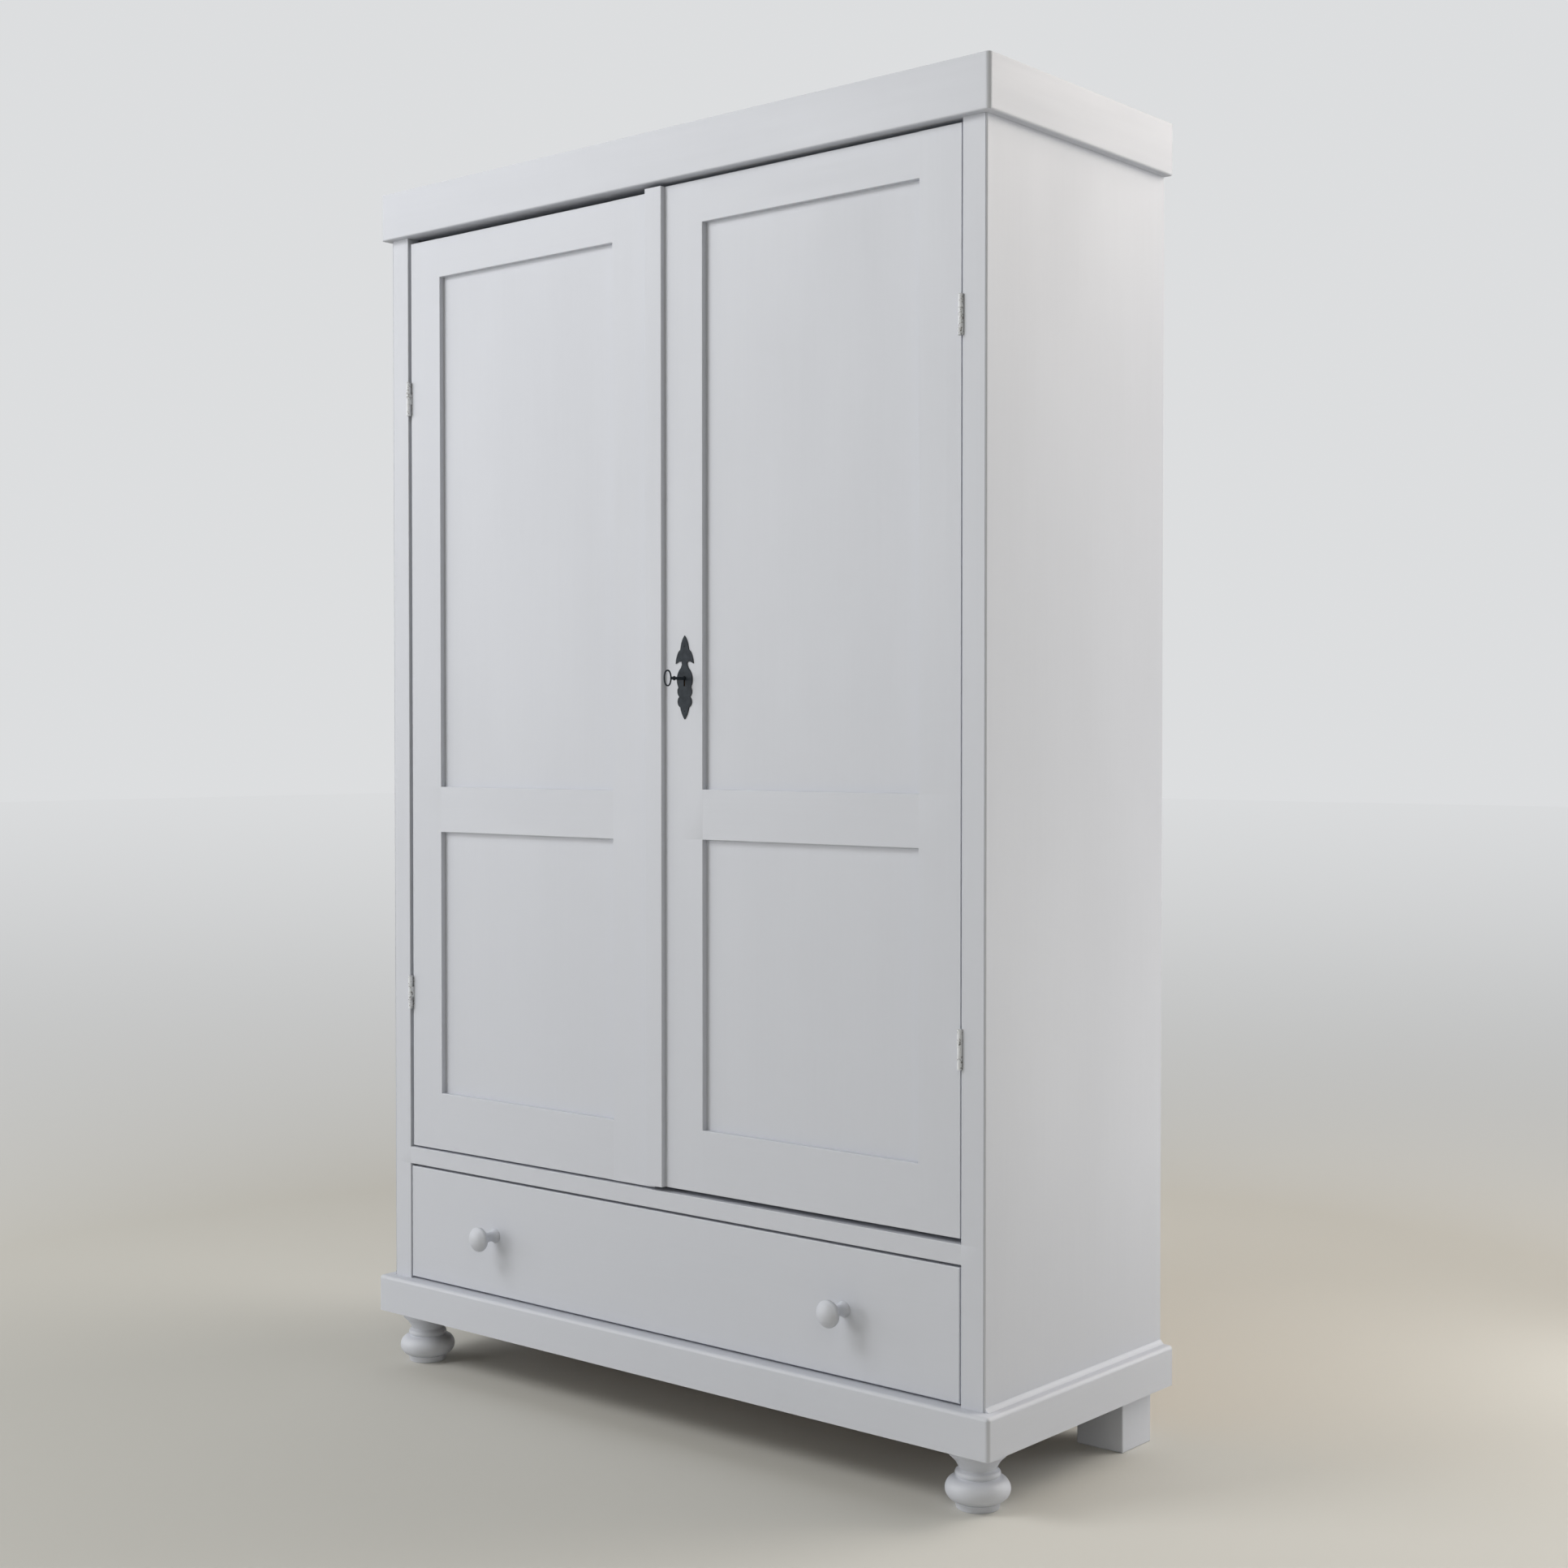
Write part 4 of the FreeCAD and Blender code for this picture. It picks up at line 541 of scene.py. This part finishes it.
def front_stiles():
    """The uprights of the face frame: the inner arris eased between the rails, and an open
    joint line down the outer one."""
    plinth, middle, top = (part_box(node) for node in
                           ("plinth_front", "middle_front_rail", "top_front_rail"))
    gaps = ((plinth[1].z, middle[0].z), (middle[1].z, top[0].z))
    for side in SIDES:
        node = f"{side}_front_stile"
        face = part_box(node)[0].y
        outer, inner = outer_and_inner(node)
        stile = board_from(node, f"{node}_eased")
        mark_across(stile, [level for gap in gaps for level in gap])
        ease(stile, FRAME_ARRIS,
             lambda a, b: both(a, b, Y, face) and both(a, b, X, inner) and within(a, b, gaps))
        saw(stile, block(GROOVE, (outer - copysign(GROOVE_INSET, outer), face, GROOVE.z / 2)))
        true_faces(stile)
        stands_for(stile, paint["upright"], "painted_wood", node)


def side_panels():
    """The sides, their back arris eased."""
    for side in SIDES:
        node = f"{side}_side_panel"
        outer, back = outer_and_inner(node)[0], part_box(node)[1].y
        eased(node, "upright", SIDE_ARRIS,
              lambda a, b: both(a, b, Y, back) and both(a, b, X, outer))


def square_feet():
    """The back feet, eased round the sole and up the corners."""
    for side in SIDES:
        node = f"back_{side}_foot"
        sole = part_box(node)[0].z
        eased(node, "upright", FOOT_ARRIS, lambda a, b: both(a, b, Z, sole) or (
            near(min(a.z, b.z), sole) and height_of(a, b) > FOOT_EDGE))


def rounded_blank(low, high, radius):
    """A block with its two front corners rounded, to plane mitred boards to."""
    blank = block(high - low, (low + high) / 2)
    ease(blank, radius, lambda a, b: both(a, b, Y, low.y) and height_of(a, b) > MM, steps=7)
    return blank


def filler_line(side, level):
    """The hollow line of filler in the angle between the plinth and a side board."""
    outer = outer_and_inner(f"{side}_side_panel")[0]
    edge = outer + copysign(FILLER, outer)
    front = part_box(f"{side}_front_stile")[0].y + MM
    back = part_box(f"{side}_side_panel")[1].y
    line = block((FILLER, back - front, FILLER + FILLER_LAP),
                 ((outer + edge) / 2, (front + back) / 2, level + (FILLER - FILLER_LAP) / 2))
    ease(line, FILLER_HOLLOW, lambda a, b: both(a, b, Z, level + FILLER) and both(a, b, X, edge),
         steps=5, profile=0.16)
    return line


def band(group, place):
    """A cornice or plinth board, its square outer arris eased and its mitred corner rounded."""
    node = f"{group}_{place}"
    front = place == "front"
    plinth = group == "plinth"
    low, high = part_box(node)
    level = low.z if plinth else high.z
    outer = outer_and_inner(node)[0]
    outer_face = (Y, low.y) if front else (X, outer)
    board = board_from(node, f"{node}_eased")
    ease(board, BAND_ARRIS, lambda a, b: both(a, b, Z, level) and both(a, b, *outer_face))
    left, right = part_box(f"{group}_left")[0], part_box(f"{group}_right")[1]
    blank = rounded_blank(Vector((left.x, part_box(f"{group}_front")[0].y, left.z - OVERCUT)),
                          Vector((right.x, right.y + OVERCUT, right.z + OVERCUT)),
                          MITRE_ROUNDING[group])
    saw(board, blank, "INTERSECT")
    if plinth and not front:
        saw(board, filler_line(place, high.z), "UNION")
    true_faces(board, angle=30)
    stands_for(board, paint["across" if front else "depthwise"], "painted_wood", node)
    if plinth:
        # The inner faces of the plinth get the dark bare pine, as painted shade under the armoire.
        inward = Vector((0, 1, 0)) if front else Vector((-copysign(1, outer), 0, 0))
        leave_bare_and_shaded(board, dark_pine_for_shade, lambda normal, middle: normal.dot(inward) > FACING)


def under_board():
    """The bottom board, painted where the drawer shows it, and underneath the dark bare pine as
    painted shade under the armoire.
    """
    board = board_from("bottom_board", "bottom_board_worked")
    true_faces(board)
    stands_for(board, paint["across"], "painted_wood", "bottom_board")
    leave_bare_and_shaded(board, dark_pine_for_shade, lambda normal, middle: -normal.z > FACING)


def back_of_boards():
    """The back, the long edges of its boards chamfered on both faces."""
    node = "back_boards"
    low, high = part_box(node)
    boards = board_from(node, "back_boards_chamfered")
    ease(boards, BACK_CHAMFER, lambda a, b: height_of(a, b) > BACK_EDGE and (
        both(a, b, Y, low.y) or both(a, b, Y, high.y)), steps=1)
    true_faces(boards, angle=30)
    outer = max(abs(low.x), abs(high.x))
    wood = back_board_pine(2 * outer / BACK_BOARD_COUNT, -outer)
    stands_for(boards, wood, "bare_pine", node)


# ------------------------------------------------------------------ turning
def arc(start, end, rise, side, count):
    """The points of an arc from start to end that rises left (+1) or right (-1) of the chord."""
    (x0, y0), (x1, y1) = start, end
    chord = hypot(x1 - x0, y1 - y0)
    radius = chord ** 2 / (8 * rise) + rise / 2
    left = ((y0 - y1) / chord, (x1 - x0) / chord)
    depth = (radius - rise) * side
    centre = ((x0 + x1) / 2 - left[0] * depth, (y0 + y1) / 2 - left[1] * depth)
    first = atan2(y0 - centre[1], x0 - centre[0])
    turn = 2 * acos(max(-1.0, min(1.0, (radius - rise) / radius))) * -side
    return [(centre[0] + radius * cos(first + turn * step / count),
             centre[1] + radius * sin(first + turn * step / count)) for step in range(count + 1)]


# Outlines to turn, as pairs of radius and height in millimetres.
# Ring, bun, bead, neck, coved cap and spigot, with the small steps that the gouge leaves:
FOOT = [
    (0, 0), (27.6, 0), *arc((27.6, 0), (28.6, 1.0), 0.25, -1, 4),
    (30.3, 7.6), *arc((30.3, 7.6), (30.6, 9.4), 0.4, -1, 4),
    (30.0, 9.9), *arc((30.4, 10.2), (31.9, 41.0), 12.3, -1, 26),
    (30.6, 41.3), (29.5, 41.8), *arc((28.9, 42.6), (28.4, 50.2), 1.6, -1, 10),
    (27.6, 50.9), (26.2, 51.8), *arc((25.3, 53.4), (38.1, 70.4), 1.4, 1, 12),
    (38.5, 71.4), (38.5, 82), (13.5, 82), (13.5, 119), (0, 119),
]
# Spigot, small base, waist and a domed head with a soft rim:
KNOB = [
    (0, -18), (5.6, -18), (6, -17.4), (6, 0), (10.4, 0), (11, 0.5),
    *arc((11, 0.9), (7.5, 16), 1.8, 1, 10), *arc((7.6, 16.4), (15.4, 28.9), 2.6, 1, 10),
    *arc((16, 29.5), (16, 39), 3.0, -1, 12), *arc((15.6, 39.5), (0, 46), 1.7, -1, 14),
]
# The rounded nose of the key's shaft, and its collar:
KEY_FRONT = [
    (0, -0.4), (1.2, -0.3), (1.9, 0.6), (2.25, 1.6), (2.0, 2.6), (1.9, 6.0), (2.2, 6.4),
    (3.1, 6.8), (3.3, 7.4), (3.1, 8.0), (2.2, 8.4), (1.95, 9.0), (2.0, 12.0), (2.3, 13.5),
]
# A countersunk head, a plain neck and a tapering thread:
WOOD_SCREW = [
    (0, 0.02), (2.5, 0.02), (2.72, 0.1), (2.74, 0.2), (1.45, 1.45), (1.35, 1.6), (1.35, 5.0),
    (1.0, 5.4), (1.35, 5.9), (1.0, 6.4), (1.35, 6.9), (1.0, 7.4), (1.35, 7.9), (1.0, 8.4),
    (1.3, 8.9), (1.0, 9.4), (1.25, 9.9), (0.9, 10.4), (1.1, 10.9), (0.8, 11.4), (0.9, 11.9),
    (0.5, 12.6), (0, 13.9),
]
# A low domed head on a plain shank:
NAIL = [
    (0, -0.88), *arc((0, -0.88), (1.58, 0), 0.22, 1, 6)[1:], (0.78, 0.02), (0.78, 10), (0, 11.9),
]


def turned(name, outline, steps):
    """A piece turned about +Z: the outline is pulled point by point and spun."""
    bpy.ops.object.select_all(action="DESELECT")
    bpy.ops.mesh.primitive_plane_add(size=MM)
    piece = bpy.context.object
    piece.name = name
    points = [Vector((radius * MM, 0, height * MM)) for radius, height in outline]
    with on_the_bench(piece, "VERT", everything=True):
        bpy.ops.mesh.merge(type="CENTER")
        bpy.ops.transform.translate(value=points[0])
        for here, point in zip(points, points[1:]):
            bpy.ops.mesh.extrude_vertices_move(TRANSFORM_OT_translate={"value": point - here})
        bpy.ops.mesh.select_all(action="SELECT")
        bpy.ops.mesh.spin(steps=steps, angle=2 * pi, center=(0, 0, 0), axis=(0, 0, 1))
        bpy.ops.mesh.select_all(action="SELECT")
        bpy.ops.mesh.remove_doubles(threshold=0.002 * MM)
        bpy.ops.mesh.normals_make_consistent(inside=False)
    return piece


def turned_wood(node, outline, steps, place, turn=(0, 0, 0)):
    """A turned and painted piece in the place of a node."""
    piece = set_down(turned(f"{node}_turned", outline, steps), place, turn)
    true_faces(piece, angle=50)
    stands_for(piece, paint["upright"], "painted_wood", node)


def turned_feet():
    for side in SIDES:
        node = f"front_{side}_foot"
        low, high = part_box(node)
        place = ((low.x + high.x) / 2, (low.y + high.y) / 2, low.z)
        turned_wood(node, FOOT, 96, place)


def drawer_knobs():
    for side in SIDES:
        node = f"{side}_drawer_knob"
        low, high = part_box(node)
        place = ((low.x + high.x) / 2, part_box("drawer_front")[0].y, (low.z + high.z) / 2)
        turned_wood(node, KNOB, 72, place, (pi / 2, 0, 0))


# ------------------------------------------------------------------ iron and steel
PLATE_BEVEL = 0.55 * MM
CASE_FOLD = 0.9 * MM
CASE_EDGE = 60 * MM  # a level edge shorter than this is no fold of the lock case
BOW_WIRE = 1.15 * MM  # radius of the wire
BOW_SHAPE = (10.8 * MM, 6.8 * MM, 1)  # half the height and half the width of the oval
BOW_DEPTH = 8.0 * MM  # from the foremost point of the key to the middle of its bow
SHAFT_DEPTH = 14.4 * MM  # and to the near end of its shaft
BIT = (2.4 * MM, 9.2 * MM)  # thickness and height
BIT_DROP = 5.9 * MM
WARD_CUT = (5 * MM, 0.9 * MM, 6 * MM)
WARD_SHARES = (0.34, 0.68)  # of the bit's depth
WARD_DROP = 10.5 * MM
SCREW_SLOT = (8 * MM, 0.7 * MM, 1.5 * MM)


def lock_plate():
    """The spear-shaped plate, its edge filed to a low bevel."""
    node = "escutcheon"
    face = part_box(node)[0].y
    plate = board_from(node, "escutcheon_filed")
    ease(plate, PLATE_BEVEL, lambda a, b: both(a, b, Y, face), steps=2)
    true_faces(plate, angle=30)
    stands_for(plate, black_iron, "black_iron", node)


def key_bow():
    """An oval of wire."""
    bpy.ops.object.select_all(action="DESELECT")
    bpy.ops.curve.primitive_bezier_circle_add(radius=1)
    wire = bpy.context.object
    wire.data.bevel_depth = BOW_WIRE
    wire.data.bevel_resolution = 5
    wire.data.resolution_u = 24
    bpy.ops.object.mode_set(mode="EDIT")
    bpy.ops.curve.select_all(action="SELECT")
    bpy.ops.transform.resize(value=BOW_SHAPE)
    bpy.ops.object.mode_set(mode="OBJECT")
    bpy.ops.object.convert(target="MESH")
    return wire


def key_bit(x, z):
    """The bit, as deep as the bolt that it moves, with two ward cuts."""
    front, back = (corner.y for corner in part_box("lock_bolt"))
    bit = block((BIT[0], back - front, BIT[1]), (x, (back + front) / 2, z - BIT_DROP))
    for share in WARD_SHARES:
        saw(bit, block(WARD_CUT, (x, front + share * (back - front), z - WARD_DROP)))
    return bit


def forged_key():
    """A wire bow welded to a shaft with a collar and a bit."""
    low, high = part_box("key")
    x, z = (low.x + high.x) / 2, (low.z + high.z) / 2
    wire = set_down(key_bow(), (x, low.y + BOW_DEPTH, z), (0, -pi / 2, 0))
    length = (high.y - low.y - SHAFT_DEPTH) / MM
    shaft = turned("key_shaft", KEY_FRONT + [(2.3, length - 0.5), (1.9, length), (0, length)], 32)
    set_down(shaft, (x, low.y + SHAFT_DEPTH, z), (-pi / 2, 0, 0))
    key = joined("key_forged", [shaft, wire, key_bit(x, z)])
    true_faces(key, angle=35)
    stands_for(key, black_iron, "black_iron", "key")


def lock_box():
    """The lock case, its folded edges rounded."""
    node = "lock_case"
    low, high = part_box(node)
    case = board_from(node, "lock_case_folded")
    ease(case, CASE_FOLD, lambda a, b: both(a, b, Y, high.y) and (
        both(a, b, X, low.x) or both(a, b, X, high.x)
        or both(a, b, Z, a.z) and abs(a.x - b.x) > CASE_EDGE))
    true_faces(case, angle=35)
    stands_for(case, old_steel, "lock_steel", node)


def loose_solids(node):
    """The points of each separate solid of a node."""
    mesh = frame["nodes"][node].data
    spots = {}
    for vertex in mesh.vertices:
        micrometres = tuple(round(value * 1e6) for value in vertex.co)
        spots.setdefault(micrometres, []).append(vertex.index)
    parent = list(range(len(mesh.vertices)))

    def root(index):
        while parent[index] != index:
            parent[index] = parent[parent[index]]
            index = parent[index]
        return index

    for first, *others in spots.values():
        for index in others:
            parent[root(index)] = root(first)
    for edge in mesh.edges:
        parent[root(edge.vertices[0])] = root(edge.vertices[1])
    solids = {}
    for vertex in mesh.vertices:
        solids.setdefault(root(vertex.index), []).append(vertex.co.copy())
    return list(solids.values())


def driven_place(points):
    """Where a screw's or nail's head sits, and the way its shank points."""
    low, high = (Vector([pick(point[axis] for point in points) for axis in (X, Y, Z)])
                 for pick in (min, max))
    middle = (low + high) / 2
    axis = max((X, Y, Z), key=lambda index: high[index] - low[index])

    def width_at(end):
        return max((hypot(*(point[i] - middle[i] for i in (X, Y, Z) if i != axis))
                    for point in points if near(point[axis], end)), default=0)

    head, tip = (low, high) if width_at(low[axis]) > width_at(high[axis]) else (high, low)
    way = Vector()
    way[axis] = copysign(1, tip[axis] - head[axis])
    spot = middle.copy()
    spot[axis] = head[axis]
    return spot, way


def drive(pattern, node, name, look, slot, depth=0.0, first_turn=0.0, next_turn=0.0):
    """A copy of the pattern in each hole, each turned further round than the last."""
    copies = []
    for count, points in enumerate(loose_solids(node)):
        spot, way = driven_place(points)
        copy = pattern.copy()
        copy.data = pattern.data.copy()
        bpy.context.scene.collection.objects.link(copy)
        aim = Vector((0, 0, 1)).rotation_difference(way).to_matrix().to_4x4()
        turn = Matrix.Rotation(first_turn + count * next_turn, 4, "Z")
        copy.data.transform(Matrix.Translation(spot + way * depth) @ aim @ turn)
        copies.append(copy)
    stands_for(joined(name, copies), look, slot, node)


def plate_nails():
    nail = turned("nail", NAIL, 24)
    true_faces(nail, angle=60)
    drive(nail, "escutcheon_nails", "escutcheon_nails_domed", black_iron, "black_iron",
          depth=0.9 * MM)
    bpy.data.objects.remove(nail)


def slotted_screws():
    screw = turned("wood_screw", WOOD_SCREW, 28)
    saw(screw, block(SCREW_SLOT, (0, 0, 0)))
    true_faces(screw, angle=35)
    for node in ("frame_hinge_screws", "left_door_screws", "right_door_screws"):
        drive(screw, node, f"{node}_slotted", screw_steel, "screw_steel",
              first_turn=0.4, next_turn=2.3)
    bpy.data.objects.remove(screw)


# ------------------------------------------------------------------ the armoire put together
KEEP_THEIR_SHAPE = (
    (paint["across"], ("drawer_front", "top_front_rail", "top_board", "cabinet_floor", "tv_shelf",
                       "media_shelf")),
    (paint["upright"], ("left_door_upper_panel", "left_door_lower_panel",
                        "right_door_upper_panel", "right_door_lower_panel")),
    (pine["across"], ("drawer_back", "drawer_bottom")),
    (pine["depthwise"], ("drawer_left_side", "drawer_right_side", "left_drawer_guide",
                         "right_drawer_guide")),
    (old_steel, ("lock_bolt", "left_top_bolt", "left_bottom_bolt", "left_door_bolt_plates")),
    (painted_hinge, ("frame_hinge_halves", "left_door_hinge_leaves", "right_door_hinge_leaves")),
)

door_frame("left")
keyhole_painted_shade(door_frame("right")["closing_stile"])
front_stiles()
eased("middle_front_rail", "across", FRAME_ARRIS, front_ends("middle_front_rail"))
side_panels()
square_feet()
for band_place in ("front", "left", "right"):
    band("cornice", band_place)
    band("plinth", band_place)
under_board()
back_of_boards()
eased("closing_strip", "upright", STRIP_ARRIS, front_ends("closing_strip"))
turned_feet()
drawer_knobs()
lock_plate()
forged_key()
plate_nails()
lock_box()
slotted_screws()
for kept_finish, kept_nodes in KEEP_THEIR_SHAPE:
    for kept_node in kept_nodes:
        for material_place in frame["nodes"][kept_node].material_slots:
            material_place.material = kept_finish


# ------------------------------------------------------------------ studio
BACKDROP = (0.72, 0.73, 0.74, 1)
AIR_COLOUR, AIR_STRENGTH = (1.0, 0.97, 0.82, 1), 0.18
FLOOR_COLOUR = (0.60, 0.59, 0.555, 1)
FLOOR_WIDTH = 60
HAZE_START = 1.8  # metres from the middle of the armoire
HAZE_END_SHARE = 0.02  # the floor is all haze where the start is this share of the distance
WHITE, WARM, FILL = (1, 1, 1), (1.0, 0.93, 0.86), (1.0, 0.97, 0.88)
LAMPS = {  # place, aim, size, watts, colour
    "low_left_window": ((-4.6, -3.0, 1.3), (0, 0, 1.0), (2.2, 1.6), 18, WHITE),
    "left_window": ((-4.2, -2.2, 2.2), (0, 0, 1.0), (3.0, 3.0), 31, WHITE),
    "front_window": ((-3.0, -5.0, 1.6), (0, 0, 1.0), (2.4, 1.8), 62, WHITE),
    "high_front_lamp": ((-1.9, -2.9, 3.4), (0, 0, 1.3), (2.0, 1.6), 70, WHITE),
    "front_right_fill": ((3.2, -3.3, 2.6), (0, 0, 1.2), (2.4, 2.4), 22, FILL),
    "high_back_lamp": ((-2.0, 2.6, 3.6), (0, 0.5, 0), (2.5, 2.5), 10, WHITE),
    "back_right_window": ((4.0, 2.8, 1.7), (0.5, 0, 1.2), (3.0, 3.0), 36, WHITE),
    "high_right_lamp": ((1.6, 2.4, 3.2), (0.6, 0.2, 1.6), (2.5, 1.5), 53, WARM),
    "right_lamp": ((2.2, 1.6, 2.4), (0.58, 0, 1.6), (1.2, 1.2), 11, WARM),
    "middle_right_lamp": ((1.6, 2.4, 1.7), (0.58, 0, 1.2), (0.8, 1.6), 10, WHITE),
    "low_right_lamp": ((1.3, 1.2, 0.5), (0.58, 0, 0.8), (0.5, 0.8), 3.4, WHITE),
}
CAMERA_PLACE = (2.24335, -2.56258, 1.00937)
CAMERA_TURN, CAMERA_DIP = radians(40.215), radians(1.175)
SENSOR_WIDTH, FOCAL_LENGTH = 36, 51.576


def mix_shaders(tree, factor, first, second, end_node):
    """Two shaders mixed into the surface of a material or a world."""
    mix = tree.nodes.new("ShaderNodeMixShader")
    connect(tree, factor, mix.inputs["Fac"])
    connect(tree, first, mix.inputs[1])
    connect(tree, second, mix.inputs[2])
    connect(tree, mix.outputs["Shader"], tree.nodes[end_node].inputs["Surface"])


def studio_floor():
    """A plain pale floor that fades into the backdrop far from the piece."""
    bpy.ops.object.select_all(action="DESELECT")
    bpy.ops.mesh.primitive_plane_add(size=FLOOR_WIDTH)
    floor = bpy.context.object
    floor.name = "studio_floor"
    material = bpy.data.materials.new("pale_floor")
    material.use_nodes = True
    tree = material.node_tree
    shader = tree.nodes["Principled BSDF"]
    connect(tree, FLOOR_COLOUR, shader.inputs["Base Color"])
    connect(tree, 0.75, shader.inputs["Roughness"])
    distance = tree.nodes.new("ShaderNodeVectorMath")
    distance.operation = "LENGTH"
    connect(tree, tree.nodes.new("ShaderNodeTexCoord").outputs["Object"], distance.inputs[0])
    share = sums(tree, "DIVIDE", HAZE_START, distance.outputs["Value"])
    far = spread(tree, share, HAZE_END_SHARE, 1.0, 1.0, 0.0)
    seen = tree.nodes.new("ShaderNodeLightPath").outputs["Is Camera Ray"]
    haze = tree.nodes.new("ShaderNodeEmission")
    connect(tree, BACKDROP, haze.inputs["Color"])
    mix_shaders(tree, sums(tree, "MULTIPLY", far, seen), shader.outputs["BSDF"],
                haze.outputs["Emission"], "Material Output")
    floor.data.materials.append(material)


def studio_air():
    """Even light from all round, with a plain pale backdrop where the camera looks past."""
    world = bpy.data.worlds.new("studio_air")
    bpy.context.scene.world = world
    world.use_nodes = True
    tree = world.node_tree
    light = tree.nodes["Background"]
    connect(tree, AIR_COLOUR, light.inputs["Color"])
    connect(tree, AIR_STRENGTH, light.inputs["Strength"])
    backdrop = tree.nodes.new("ShaderNodeBackground")
    connect(tree, BACKDROP, backdrop.inputs["Color"])
    path = tree.nodes.new("ShaderNodeLightPath").outputs
    seen = sums(tree, "MAXIMUM", path["Is Camera Ray"], path["Is Glossy Ray"])
    mix_shaders(tree, seen, light.outputs["Background"], backdrop.outputs["Background"],
                "World Output")


def soft_light(name, place, aim, size, power, colour):
    lamp = bpy.data.lights.new(name, "AREA")
    lamp.shape = "RECTANGLE"
    lamp.size, lamp.size_y = size
    lamp.energy = power
    lamp.color = colour
    stand = bpy.data.objects.new(name, lamp)
    stand.location = place
    stand.rotation_euler = (Vector(aim) - Vector(place)).to_track_quat("-Z", "Y").to_euler()
    stand.visible_camera = False
    bpy.context.scene.collection.objects.link(stand)


def camera():
    lens = bpy.data.cameras.new("camera")
    lens.sensor_width = SENSOR_WIDTH
    lens.lens = FOCAL_LENGTH
    stand = bpy.data.objects.new("camera", lens)
    stand.location = CAMERA_PLACE
    stand.rotation_euler = (pi / 2 - CAMERA_DIP, 0, CAMERA_TURN)
    bpy.context.scene.collection.objects.link(stand)
    bpy.context.scene.camera = stand


bpy.context.scene.view_settings.view_transform = "Standard"
studio_floor()
studio_air()
for lamp_name, lamp_values in LAMPS.items():
    soft_light(lamp_name, *lamp_values)
camera()
